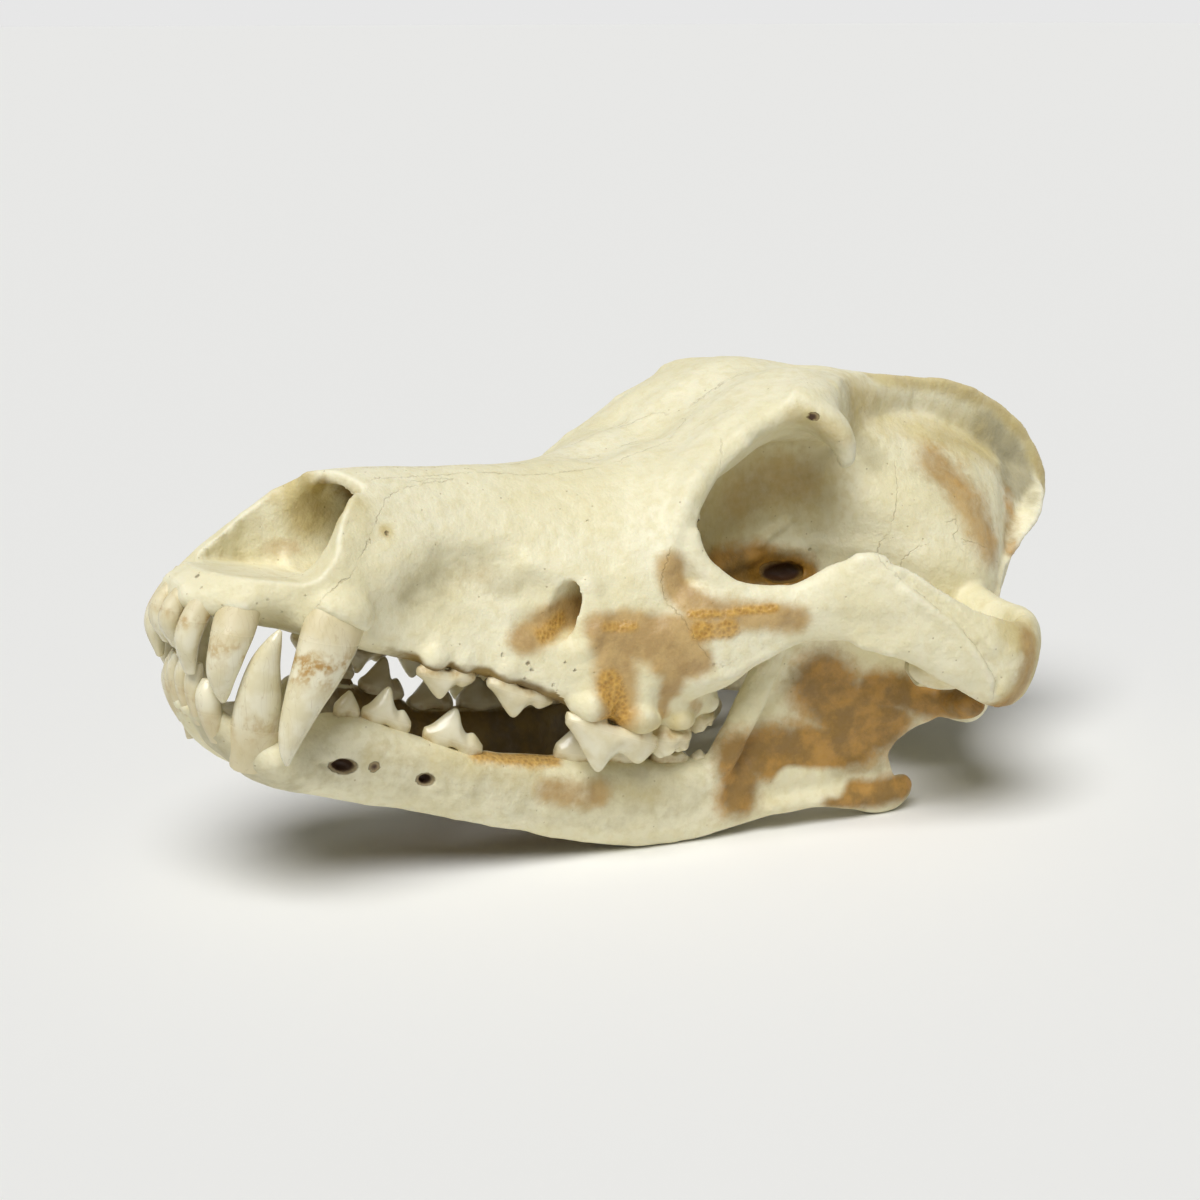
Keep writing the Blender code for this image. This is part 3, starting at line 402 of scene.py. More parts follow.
# %% Strokes and smoothing
def points_of(obj):
    """The object's points and their normals."""
    count = len(obj.data.vertices)
    places, normals = np.empty(count * 3, np.float32), np.empty(count * 3, np.float32)
    obj.data.vertices.foreach_get("co", places)
    obj.data.vertices.foreach_get("normal", normals)
    return places.reshape(-1, 3).astype(float), normals.reshape(-1, 3).astype(float)


def place_points(obj, places):
    obj.data.vertices.foreach_set("co", places.astype(np.float32).ravel())
    obj.data.update()


def edges_of(obj):
    ends = np.empty(len(obj.data.edges) * 2, np.int32)
    obj.data.edges.foreach_get("vertices", ends)
    return ends.reshape(-1, 2).T


def smoothed(places, ends, rounds, shares=(0.5, -0.52)):
    """Each point moved towards the middle of its neighbours, and back out, a number of times."""
    first, second = ends
    near = np.bincount(ends.ravel(), minlength=len(places))[:, None]
    for _ in range(rounds):
        for share in shares:
            total = np.zeros_like(places)
            for axis in range(3):
                total[:, axis] = np.bincount(first, places[second, axis], len(places))
                total[:, axis] += np.bincount(second, places[first, axis], len(places))
            places = places + share * (total / near - places)
    return places


def soften(obj, rounds):
    places, _ = points_of(obj)
    place_points(obj, smoothed(places, edges_of(obj), rounds))


def along_path(places, path):
    """How far each point lies from a line of straight runs, and which way that run goes."""
    path = np.array(path, float)
    if len(path) == 1:
        path = np.vstack([path, path + 1e-3])
    nearest = np.full(len(places), np.inf)
    foot, ahead = np.zeros_like(places), np.zeros_like(places)
    for a, b in zip(path, path[1:]):
        share = np.clip((places - a) @ (b - a) / ((b - a) @ (b - a)), 0, 1)
        on_run = a + share[:, None] * (b - a)
        far = np.linalg.norm(places - on_run, axis=1)
        closer = far < nearest
        nearest = np.where(closer, far, nearest)
        foot[closer] = on_run[closer]
        ahead[closer] = (b - a) / np.linalg.norm(b - a)
    return nearest, foot, ahead


def stroke(places, normals, path, radius, height, facing=None):
    """Moves the points near a path outwards, or inwards where height is negative.

    Where facing is given, only what looks that way moves.
    """
    path = np.array(path, float)
    low, high = path.min(axis=0) - radius, path.max(axis=0) + radius
    inside = np.flatnonzero(((places > low) & (places < high)).all(axis=1))
    if not len(inside):
        return
    far, _, _ = along_path(places[inside], path)
    share = np.clip(1 - (far / radius) ** 2, 0, 1) ** 2
    if facing is not None:
        share = share * np.clip(normals[inside] @ np.array(facing, float), 0, 1)
    places[inside] += normals[inside] * (share * height)[:, None]


def on_side(path, side):
    return [(x, side * y, z) for x, y, z in path]


print("strokes ready")

# %% [markdown]
# ## The teeth
# A wolf has 42 teeth. This one has lost the left upper first premolar and the left lower fourth, and
# their sockets have healed. The long front teeth are tapering tubes. A cheek tooth is lofted along
# its length, so that its row of cusps can be read off a side view, and stands on two roots.

# %% Tables of the teeth
UPPER_FRONT = {
    "i1": (
        (1.5, 2.9, 6, 2.6, 2.8), (-3.0, 3.0, 0.5, 2.6, 2.9), (-4.0, 3.1, -4, 2.7, 2.7),
        (-1.2, 3.0, -10, 1.6, 0.9),
    ),
    "i2": (
        (3.5, 8.2, 6, 2.9, 3.2), (-0.2, 9.0, -0.5, 3.1, 3.3), (-1.8, 9.6, -7, 3.1, 2.9),
        (0.6, 9.2, -15, 1.5, 0.9),
    ),
    "i3": (
        (9, 13.0, 6, 5.0, 3.9), (7.0, 15.0, -1.5, 5.2, 4.1), (5.6, 16.3, -7, 4.6, 3.9),
        (5.2, 16.4, -12.5, 3.8, 3.2), (6.4, 16.0, -17.5, 2.0, 1.8), (7.3, 15.6, -20, 0.6, 0.6),
    ),
    "canine": (
        (31.0, 21.3, 9, 7.4, 4.7), (27.8, 24.0, 0.0, 7.4, 4.9), (25.4, 25.2, -8, 6.4, 4.7),
        (22.9, 25.7, -16, 4.9, 4.1), (21.2, 25.8, -24, 3.3, 3.1), (21.0, 25.7, -29, 1.9, 1.8),
        (21.6, 25.6, -32.2, 0.5, 0.5),
    ),
}
LOWER_FRONT = {
    "i1": (
        (6.5, 2.2, -26, 1.9, 2.4), (3.6, 2.3, -21, 1.9, 2.4), (1.8, 2.4, -16.5, 2.1, 2.0),
        (1.6, 2.4, -12.5, 1.6, 0.8),
    ),
    "i2": (
        (8.0, 5.6, -27, 2.2, 2.6), (4.8, 6.2, -22, 2.2, 2.6), (3.0, 6.6, -17, 2.5, 2.2),
        (3.0, 6.6, -12.5, 1.8, 0.8),
    ),
    "i3": (
        (11, 9.4, -30, 2.6, 2.7), (7.6, 10.4, -25.3, 2.8, 2.8), (5.2, 10.9, -20, 3.0, 2.5),
        (5.0, 10.8, -15.6, 1.9, 0.9),
    ),
    "canine": (
        (19, 13.5, -35, 6.0, 4.7), (16.6, 16.0, -27, 6.0, 4.7), (15.2, 17.8, -18.5, 5.6, 4.5),
        (14.4, 19.3, -10, 3.9, 3.4), (15.1, 20.6, -3.8, 2.0, 2.0), (15.9, 21.2, -0.4, 0.5, 0.5),
    ),
}
FACING = {"i1": 8, "i2": 28, "i3": 55, "canine": 80}
# name, x, y and z of the middle of the neck, length, width, height, turn, slope of the neck, form
UPPER_CHEEK = (
    ("p1", 43.5, 19.8, -5.4, 6.5, 5, 4.6, 0, -2, "peg"),
    ("p2", 62.5, 21.9, -7.2, 16, 5.8, 7.2, 5, -1, "premolar"),
    ("p3", 82.0, 26.4, -9.0, 18.5, 6.6, 8.0, 9, -9, "premolar"),
    ("p4", 105.0, 36.3, -15.0, 25.5, 9.0, 12.6, 14, -8, "upper carnassial"),
    ("m1", 124.3, 31.8, -15.8, 13.5, 16.5, 7.0, -8, 6, "grinder"),
    ("m2", 135.0, 30.2, -11.5, 7.5, 12, 4.4, -12, 20, "grinder"),
)
LOWER_CHEEK = (
    ("p1", 42.0, 12.6, -21.8, 6.8, 4.4, 6.2, 15, -6, "peg"),
    ("p2", 51.8, 15.3, -22.8, 13.2, 5.2, 9.3, 14, -10, "premolar"),
    ("p3", 69.2, 20.0, -26.4, 16.2, 5.8, 9.6, 14, -11, "premolar"),
    ("p4", 87.0, 23.6, -26.8, 15.5, 6.4, 10.0, 10, 0, "premolar"),
    ("m1", 109.5, 27.2, -26.0, 26, 8.0, 11.5, 9, 2, "lower carnassial"),
    ("m2", 129.0, 30.6, -24.4, 10.5, 7.0, 3.6, 12, 4, "grinder"),
    ("m3", 137.4, 32.4, -23.6, 4.6, 4.6, 2.8, 12, 4, "peg"),
)
LOST_TEETH = {("upper", "p1", "left"), ("lower", "p4", "left")}
# a form: the crown's height along its length, where its edge lies across it, how high its inner half
# is, and how full it is near the top outside and inside
TOOTH_FORMS = {
    "peg": (((0, 0.35), (0.3, 0.8), (0.5, 1.0), (0.75, 0.7), (1, 0.3)), 0.0, 0.85, 0.6, 0.6),
    "premolar": (
        ((0, 0.25), (0.14, 0.42), (0.45, 1.0), (0.6, 0.6), (0.7, 0.44), (0.82, 0.5), (1, 0.25)),
        0.0, 0.85, 0.6, 0.55,
    ),
    "upper carnassial": (
        ((0, 0.22), (0.14, 0.45), (0.41, 1.0), (0.53, 0.68), (0.63, 0.5), (0.84, 0.62), (1, 0.25)),
        0.15, 0.8, 0.65, 0.45,
    ),
    "lower carnassial": (
        ((0, 0.3), (0.2, 0.72), (0.33, 0.6), (0.48, 1.0), (0.64, 0.5), (0.82, 0.45), (1, 0.3)),
        0.0, 0.85, 0.6, 0.6,
    ),
    "grinder": (((0, 0.4), (0.25, 0.95), (0.5, 0.6), (0.72, 0.8), (1, 0.35)), 0.55, 0.55, 0.8, 0.7),
}
# the premolars of the right side stand closer together: how far each lower one has grown out, and the
# share of it for the upper ones
GROWN, GROWN_ABOVE = {"p1": 5.0, "p2": 5.4, "p3": 3.6}, 0.8
ROOT_ROWS = ((-7, 0.35), (-3, 0.62), (0.2, 0.78), (1.6, 0.6))  # height over the neck, and thickness
TOOTH_GRAIN = 0.36


def cheek_rows(jaw, side_name, table, way):
    """The cheek teeth that are there, with their names."""
    rows = []
    for name, x, y, z, *others in table:
        if (jaw, name, side_name) in LOST_TEETH:
            continue
        grown = GROWN.get(name, 0) if side_name == "right" else 0
        if jaw == "upper":
            grown *= GROWN_ABOVE
        rows.append((name, x, y, z + way * grown, *others))
    return rows


print("cheek teeth a side:", len(UPPER_CHEEK), "above and", len(LOWER_CHEEK), "below")

# %% [markdown]
# Bone grows up round each root and stands proud over it. These swellings are made from the tables of
# the teeth, a little thicker than the roots, and are joined to the bone before its surface is rebuilt.

# %% Beds of the teeth
FRONT_BED_SIZE = {"upper": 1.0, "lower": 0.84}
# a front tooth's bed: how far each row lies from the neck towards the root's end, the share of the
# tooth's thickness there and the millimetres of bone over it
FRONT_BED_ROWS = ((1.15, 0.5, 0.0), (0.8, 1.0, 0.6), (0.42, 1.0, 0.6))
CHEEK_BED_DEPTH, CHEEK_BED_COVER, CHEEK_BED_HALF_HEIGHT = 3.9, 0.6, 4.0


def tooth_beds(jaw, side_name, front, cheek, way):
    side = SIDES[side_name]
    beds = []
    for name, path in front.items():
        root, neck = np.array(path[0], float), np.array(path[1], float)
        rows = []
        for reach, share, cover in FRONT_BED_ROWS:
            row = root * reach + neck * (1 - reach)
            row[3:] = (row[3:] * share + cover) * FRONT_BED_SIZE[jaw]
            rows.append(row)
        turn = math.radians(FACING[name])
        outwards = (-math.cos(turn), side * math.sin(turn), 0)
        beds.append(tube(f"bed of {name}", mirrored(rows, side), 14, 20, up=outwards))
    for name, x, y, z, length, width, _, turn, slope, form in cheek_rows(jaw, side_name, cheek, way):
        roots, half_length = ((0.0,), 0.5) if form in ("peg", "grinder") else ((-0.25, 0.25), 0.27)
        half_sizes = (length * half_length, width * 0.5 + CHEEK_BED_COVER, CHEEK_BED_HALF_HEIGHT)
        for share in roots:
            along = share * length
            place = (
                x + along * math.cos(math.radians(turn)),
                side * (y + along * math.sin(math.radians(turn))),
                z + along * math.tan(math.radians(slope)) - way * CHEEK_BED_DEPTH,
            )
            beds.append(ellipsoid(f"bed of {name}", place, half_sizes, 0, side * turn))
    return beds


# %% [markdown]
# ## The cranium
# The real cranium is some forty bones that have grown together. Plain forms stand for the main ones,
# are joined into one body, rebuilt in even squares and smoothed, so that they flow into each other.

# %% Join the plain forms of the cranium
GRAIN = 0.8


def cranium_forms():
    forms = [
        body("snout", SNOUT, 80),
        body("orbit core", ORBIT_CORE),
        body("frontal roof", FRONTAL_ROOF),
        body("vault", VAULT, 80),
        body("skull base", SKULL_BASE),
        board("sagittal crest", CREST, -1.5, 3.0, 1),
    ]
    for side in (LEFT, RIGHT):
        backwards = (0.6, 0.6 * side, 0.4)
        forms += [
            tube("arch", mirrored(ARCH, side), 80),
            tube("orbit rim", mirrored(ORBIT_RIM, side)),
            tube("brow", mirrored(BROW, side)),
            tube("orbit process", mirrored(ORBIT_PROCESS, side)),
            tube("orbit corner", mirrored(ORBIT_CORNER, side)),
            ellipsoid("front of the jaw socket", (190, side * 60, 11), (11, 6, 5.2)),
            tube("nuchal crest", mirrored(NUCHAL_CREST, side), 60, up=backwards),
            tube("pterygoid", mirrored(PTERYGOID, side)),
            tube("jugular process", mirrored(JUGULAR_PROCESS, side)),
            ellipsoid("tooth bed", (123, side * 30.5, -5), (18, 9.5, 11), turn_z=-side * 12),
            ellipsoid("bulla", (217, side * 19, -1), (14.5, 10, 10), turn_z=side * 20),
            ellipsoid("jaw socket", (211, side * 45, 13), (10, 24, 9), turn_y=-8),
            ellipsoid("socket's rear lip", (213.5, side * 44, 2), (3.2, 12, 8)),
            ellipsoid("condyle", (245, side * 12.5, 9.5), (8, 8.5, 11), turn_y=25),
            ellipsoid("above the condyle", (241, side * 16, 16), (8, 9, 9)),
        ]
    for side_name in SIDES:
        forms += tooth_beds("upper", side_name, UPPER_FRONT, UPPER_CHEEK, -1)
    return forms


cranium = fuse("cranium", cranium_forms(), GRAIN)
soften(cranium, 8)
print("cranium:", len(cranium.data.vertices), "points")

# %% [markdown]
# Then the hollows and swellings that show where muscles and tooth roots lie: the trough down the
# forehead, the bulge over the canine's root, the hollow in front of the foramen under the orbit, the
# sharp lines that the chewing muscles leave, and the roots of the cheek teeth under thin bone.

# %% Press and raise the main forms
MAIN_STROKES = (
    # the muzzle: the canine's root, the hollow behind it and the notch of the lower canine
    (((26, 24.5, -1), (32, 23.5, 7), (39, 21.5, 14), (48, 18.5, 22)), 10, 1.9),
    (((52, 22, 4), (62, 22, 8), (70, 24, 8)), 13, -1.3),
    (((60, 20, 18), (70, 21, 17), (80, 25, 14), (86, 29, 10)), 9, -2.6),
    (((50, 20.3, 11), (59, 20.5, 16), (67, 21, 20), (73, 21.5, 23)), 7, -1.6),
    (((78, 28, 8), (85, 30, 8), (90, 31, 6)), 4.5, -1.6),
    (((14, 20, 0),), 8, -2.2),
    (((16, 18, 13), (24, 19.5, 18), (30, 17, 25)), 5.5, -0.9),
    (((2, 9, 6), (8, 14, 8), (18, 19, 9)), 4, -0.5),
    # round the foramen under the orbit, and the edge of the cheekbone in front of it
    (((80, 25, 22), (88, 27.5, 23), (96, 30, 20)), 5, 0.9),
    (((93, 31, 19), (97, 34.5, 12), (94, 35, 4)), 3.5, 0.9),
    (((112, 42.5, 11), (104, 40.5, 9), (96, 37.5, 7)), 5, 0.7),
    # the roots of the last premolar and the molars
    (((97, 38, -13), (98, 37.5, -5), (99, 36, 2)), 4, 0.9),
    (((104.0, 40.5, -14), (104.5, 40.5, -6)), 2.6, -0.6),
    (((110, 41.5, -14), (111, 42, -6), (111, 41.5, 0)), 4.5, 0.9),
    (((118.5, 41, -14), (119, 41.5, -8)), 2.4, -0.5),
    (((124, 40.5, -12), (124.5, 41, -5)), 4, 0.6),
    # the orbit's edge, the tear duct and the wall behind it
    (((115, 35, 28), (118, 35, 36), (121.5, 33.5, 44), (127, 31.5, 53), (134, 30.5, 60)), 3.2, 0.7),
    (((123, 29, 30), (125, 27, 38), (128, 25, 46)), 7, -1.2),
    (((181, 19, 34), (180, 18, 50)), 13, -1.6),
    (((142, 12, 12), (156, 13.5, 17), (170, 16, 22), (182, 20, 25)), 4.5, 1.3),
    (((146, 12, 26), (160, 13.5, 31), (176, 18, 35), (190, 24, 36)), 4, 0.8),
    (((150, 12.5, 35), (166, 14.5, 41)), 6, -0.8),
    (((158, 13.5, 33), (162, 14, 37), (166, 14.5, 40.5)), 2.4, 1.3),
    (((165, 15, 43), (169, 15.5, 38), (174, 17, 33)), 2.0, -0.9),
    (((141, 12.5, 22), (150, 13, 25), (157, 13.5, 29)), 3.0, 1.1),
    (((184, 20, 16), (192, 24, 14)), 7, -1.4),
    # the braincase: temporal line, crest and the hollow in front of the nuchal crest
    (((168, 21, 79.5), (174, 15, 81.5), (182, 9, 83), (190, 4, 83.5)), 3.0, 0.7),
    (((158, 34, 67.5), (162, 35, 64), (164.5, 34.5, 60)), 3.0, 1.2),
    (((166, 20, 72), (176, 13, 74), (190, 9, 74)), 8, -1.0),
    (((200, 7, 74), (220, 7, 75), (240, 6, 71)), 8, -1.1),
    (((232, 24, 36), (237, 19, 47), (244, 12, 57), (254, 6, 64)), 7, -1.2),
    (((205, 29, 36), (214, 32, 28), (222, 33, 24)), 8, 0.7),
    (((190, 22, 50), (206, 28, 52), (222, 26, 52)), 10, 0.6),
    # the cheek arch: sharp lower line, hollow face, and the spike behind the orbit
    (((122, 44, 0), (131, 47.5, 3), (141, 51.5, 9), (154, 56.5, 13.5), (168, 63, 14)), 3, 1.0),
    (((128, 47, 11), (140, 51, 14), (154, 57, 20), (168, 63.5, 22)), 6, -0.7),
    (((157.5, 56.5, 38), (161.5, 58.5, 40)), 4.5, 1.5),
    (((166, 58.5, 37), (171, 61, 33.5), (176, 63, 30)), 3.5, -1.3),
    (((170, 64, 30), (184, 69.5, 26), (194, 72, 20)), 4, 0.5),
    (((200, 70, 24), (206, 69, 26)), 7, -0.6),
    (((214, 60, 28), (216, 50, 31), (217, 42, 32)), 4, 1.0),
    # the underside
    (((20, 12, -3), (50, 13, -5), (80, 18, -8)), 4, -0.4),
    (((206, 8, -3), (232, 9, -2)), 5, -0.7),
    (((248, 20, 8), (252, 16, 24)), 6, -0.8),
)
JUGAL_TIP = (
    (168, 63.8, 33.3), (173.3, 66.2, 30.5), (183, 70.0, 25.3), (190.3, 72.5, 18.9), (194.8, 73.4, 14.8),
    (197.8, 73.4, 11.5), (198.6, 72.8, 8.4),
)
FOREHEAD_TROUGH = (((108, 0, 50), (126, 0, 62), (145, 0, 78), (168, 0, 82)), 12, -2.4)
# the bone under the right premolars reaches further down, as far as the teeth have grown out
RIGHT_GUM = (((44, 19.5, -3.5), (54, 20.5, -5), (66, 22, -6.5), (76, 24.5, -7.5)), 7, 2.8, (0, 0, -1))
UPPER_ROOTS = ((58, 22.5, -6), (67, 23.5, -7), (77.5, 27.5, -9), (87.5, 30.5, -10))
# places where the ends of plain forms still show, and how far round them the bone is smoothed
SMOOTHED = (
    ((105, 30.5, 36), 13), ((106, 26, 43), 11), ((130, 16, 62), 13), ((140, 15, 71), 13),
    ((120, 17, 55), 13), ((112, 12, 50), 12), ((150, 24, 78), 15), ((160, 25, 78), 11),
    ((167, 23, 76), 9), ((140, 24, 70), 12), ((112, 24, 50), 13), ((124, 24, 57), 12),
    ((132, 44, 22), 10), ((118, 38, 8), 12), ((222, 44, 26), 12), ((240, 22, 10), 11),
    ((236, 26, 2), 9), ((186, 14, 74), 12), ((170, 16, 74), 9),
)
BRUSH_ROUNDS = 90


def smooth_brush(obj, spots):
    """Smooths the surface round some spots on both sides, most in the middle."""
    places, _ = points_of(obj)
    blurred = smoothed(places, edges_of(obj), BRUSH_ROUNDS, (0.5,))
    share = np.zeros(len(places))
    for side in (LEFT, RIGHT):
        for (x, y, z), radius in spots:
            far = np.linalg.norm(places - (x, side * y, z), axis=1)
            share = np.maximum(share, np.clip(1 - (far / radius) ** 2, 0, 1))
    place_points(obj, places + (blurred - places) * share[:, None])


def wrinkle(places, normals, wave, height):
    """Moves the surface in and out a little by chance, with waves about this long."""
    for k, place in enumerate(places / wave):
        places[k] += normals[k] * (height * noise.noise(place))


smooth_brush(cranium, SMOOTHED)
places, normals = points_of(cranium)
stroke(places, normals, *FOREHEAD_TROUGH)
for side in (LEFT, RIGHT):
    for path, radius, height in MAIN_STROKES:
        stroke(places, normals, on_side(path, side), radius, height)
    tip = np.array(on_side(JUGAL_TIP, side))
    stroke(places, normals, tip + (0, 0, 1.5), 2.2, -1.3)
    stroke(places, normals, tip + (-0.6, 0, -1.6), 2.6, 0.7)
    for x, y, z in UPPER_ROOTS:
        stroke(places, normals, on_side(((x, y, z), (x + 0.8, y - 1.5, z + 7)), side), 3.2, 0.6)
stroke(places, normals, *RIGHT_GUM)
wrinkle(places, normals, 11.0, 0.4)
wrinkle(places, normals, 3.5, 0.16)
place_points(cranium, places)
print("strokes on each side:", len(MAIN_STROKES) + 2 + len(UPPER_ROOTS))

# %% [markdown]
# The spaces that run into the bone are cut: the nose, the canals under the orbits, the way behind the
# palate, the hole for the spinal cord and the hollows that the lower jaw turns in.

# %% Cut the openings
def nose_cutters():
    cutters = [board("nose opening", NOSE_FROM_ABOVE, NOSE_FLOOR, ABOVE_NOSE - NOSE_FLOOR, 2)]
    for name, rim, low, high in (("right rim", RIGHT_RIM, 5.5, 30), ("left rim", LEFT_RIM, -30, -8.5)):
        outline = rim + ((rim[-1][0], ABOVE_NOSE), (rim[0][0], ABOVE_NOSE))
        cutters.append(board(name, outline, low, high - low, 1))
    return cutters + [body("nasal tunnel", NASAL_TUNNEL)]


cutters = nose_cutters() + [
    ellipsoid("foramen magnum", (256, 0, 12), (16, 9.5, 8)),
    body("palate vault", PALATE_VAULT),
    body("choanae", CHOANAE),
]
# place out from the midline, half sizes, and the turns about y and z
HOLES = (
    ((24, 4.6, -2), (7.5, 2.3, 3.5), 8, 0),  # behind the incisors, in the palate
    ((222, 33, 7), (3.6, 7, 3.4), 0, 20),  # the ear
    ((167.5, 15.0, 26.0), (6.5, 3.6, 2.6), -15, 0),  # the optic nerve
    ((178, 18.5, 19.5), (3.6, 3.2, 2.2), -15, 0),  # the eye's other nerves
    ((182, 20, 12), (3.0, 3.0, 1.8), -10, 0),
    ((130, 13.5, 16), (4.5, 3.0, 2.6), 25, 0),  # in the orbit's front corner
    ((138, 13, 9), (2.4, 2.6, 1.4), 25, 0),
    ((121.5, 31.0, 37), (3.4, 1.7, 2.0), -30, 0),  # the tear duct
    ((151.2, 34.8, 70.3), (0.8, 1.6, 0.6), 0, 0),  # over the brow
    ((200, 13, -2), (3.6, 2.2, 2.4), 0, 10),  # in front of the bulla
    ((231, 14, 0), (2.6, 2.2, 2.4), 0, 0),  # behind it
)
for side in (LEFT, RIGHT):
    cutters.append(tube("infraorbital canal", mirrored(INFRAORBITAL_CANAL, side)))
    cutters.append(tube("jaw bearing", mirrored(JAW_BEARING, side), 12, 32))
    for (x, y, z), half_sizes, turn_y, turn_z in HOLES:
        cutters.append(ellipsoid("hole", (x, side * y, z), half_sizes, turn_y, side * turn_z))
print("openings:", len(cutters))
combine(cranium, cutters, "DIFFERENCE")

# %% [markdown]
# Deep in the nose stand scrolls of thin bone that warmed the air, on both sides of a low partition.
# They are simple curved folds here, because only their front edges show.

# %% Scrolls in the nose
SCROLLS = (
    ((46, 2.2, 12), (46, 4.5, 16), (46, 3.2, 20), (46, 6.5, 23)),
    ((50, 8.5, 13), (50, 6.0, 17), (50, 8.0, 21)),
    ((52, 3.0, 24), (52, 5.5, 27), (52, 3.0, 31)),
)
SCROLL_LENGTH, SCROLL_HALF = 34, 0.45
PARTITION = ((34, 10.5), (42, 13), (54, 24), (84, 36))  # x and top
NOSE_WALLS = (((26, 10, 22), 9), ((27, 9, 28), 7), ((26, 10, 15), 8), ((30, 10.5, 20), 8))


def fold(line, side):
    """A thin plate that runs back from a curved front edge, thickest in the middle."""
    edge = smooth_rows(on_side(line, side), 14)
    rings = []
    for back in np.linspace(0, SCROLL_LENGTH, 8):
        thick = SCROLL_HALF * (1 - 0.3 * abs(2 * back / SCROLL_LENGTH - 1))
        rings.append(np.vstack([edge + (back, thick, 0), edge[::-1] + (back, -thick, 0)]))
    return loft("scroll", rings)


def partition_ring(x, top):
    return [(x, -0.8, 8), (x, -0.5, top), (x, 0.5, top), (x, 0.8, 8)]


folds = [fold(line, side) for line in SCROLLS for side in (LEFT, RIGHT)]
folds.append(loft("partition", [partition_ring(x, top) for x, top in PARTITION]))
combine(cranium, folds, "UNION")
rebuild(cranium, GRAIN)
soften(cranium, 3)
smooth_brush(cranium, NOSE_WALLS)
print("cranium:", len(cranium.data.vertices), "points, with", len(folds), "folds in the nose")

# %% [markdown]
# ## The lower jaw
# Each half is made flat from a rounded body, the upright board that the jaw's muscles hold, and the
# condyle that turns in the skull. It is bent outwards last, because its halves meet at the chin.

# %% Make both halves of the jaw
JAW_GRAIN = 0.65
OUTSIDE, INSIDE, UPWARDS = (0, 1, 0), (0, -1, 0), (0, 0, 1)
JAW_STROKES = (
    (((158, 4, -22), (164, 4, -8), (167, 4, 4)), 17, -1.3, OUTSIDE),
    (((170, -4, -12),), 14, -0.7, INSIDE),
    (((22, 8, -32), (30, 7, -36)), 9, 1.2, OUTSIDE),
    # the edges of the hollow for the chewing muscle, and ridges in it
    (((146, 3, -33), (148, 3, -22), (152, 3, -8), (157, 3, 4)), 4.5, -1.7, OUTSIDE),
    (((141, 4, -30), (143.5, 4, -20), (147, 4, -8), (151, 4, 4)), 3, 0.8, OUTSIDE),
    (((152, 4, -31), (168, 3, -28), (184, 3, -25)), 4, -0.8, OUTSIDE),
    (((156, 3, -34), (170, 3, -31.5), (184, 3, -30)), 3, 0.7, OUTSIDE),
    (((160, 3, -17), (174, 3, -12), (186, 3, -6)), 3.5, 0.6, OUTSIDE),
    (((164, 3, 6), (170, 3, 14), (174, 3, 24)), 5, -0.5, OUTSIDE),
    # the roots of the cheek teeth
    (((48.5, 6, -28), (49, 6, -33)), 3, 0.4, OUTSIDE),
    (((65, 6, -30), (65.5, 6, -36)), 3.2, 0.4, OUTSIDE),
    (((73.5, 6, -30), (74, 6, -36)), 3.2, 0.4, OUTSIDE),
    (((102, 6, -30), (103, 6, -37)), 4, 0.6, OUTSIDE),
    (((116, 6, -30), (116.5, 6, -37)), 4, 0.5, OUTSIDE),
    (((132, 5, -30), (138, 5, -22), (141, 4, -12)), 4, 0.6, OUTSIDE),
)
EDGE_STROKES = {
    # the lost premolar's place, healed and sunk
    LEFT: (((80, 4, -26), (88, 4, -26.5), (95, 4, -26)), 5, -0.9, UPWARDS),
    # the bone round the right premolars, as far as they have grown out
    RIGHT: (((40, 2, -21), (52, 2, -22), (64, 2, -25), (74, 2, -26)), 8, 4.2, UPWARDS),
}
# holes for the nerve of the lip, and the large one on the inner side: place, half sizes
JAW_HOLES = (
    ((40.6, 18.6, -33.3), (3.2, 3.4, 1.7)), ((36.5, 19.6, -33.4), (4.0, 1.6, 1.2)),
    ((48.3, 20.4, -32.8), (0.9, 2.2, 0.9)), ((61.8, 23.0, -34.7), (1.9, 3.4, 1.3)),
    ((58.5, 23.6, -35.0), (2.4, 1.4, 0.9)), ((170, 37.0, -14), (4.5, 3.0, 2.2)),
)


def bend_jaw(bone, side):
    """Sets half a jaw, made flat, on its curve away from the midline."""
    places, _ = points_of(bone)
    spread = smooth_rows(JAW_SPREAD, 100)
    away = np.interp(places[:, 0], spread[:, 0], spread[:, 1])
    places[:, 1] = side * (away + places[:, 1] + JAW_LEAN * (places[:, 2] - JAW_LEVEL))
    place_points(bone, places)
    if side < 0:
        bone.data.flip_normals()


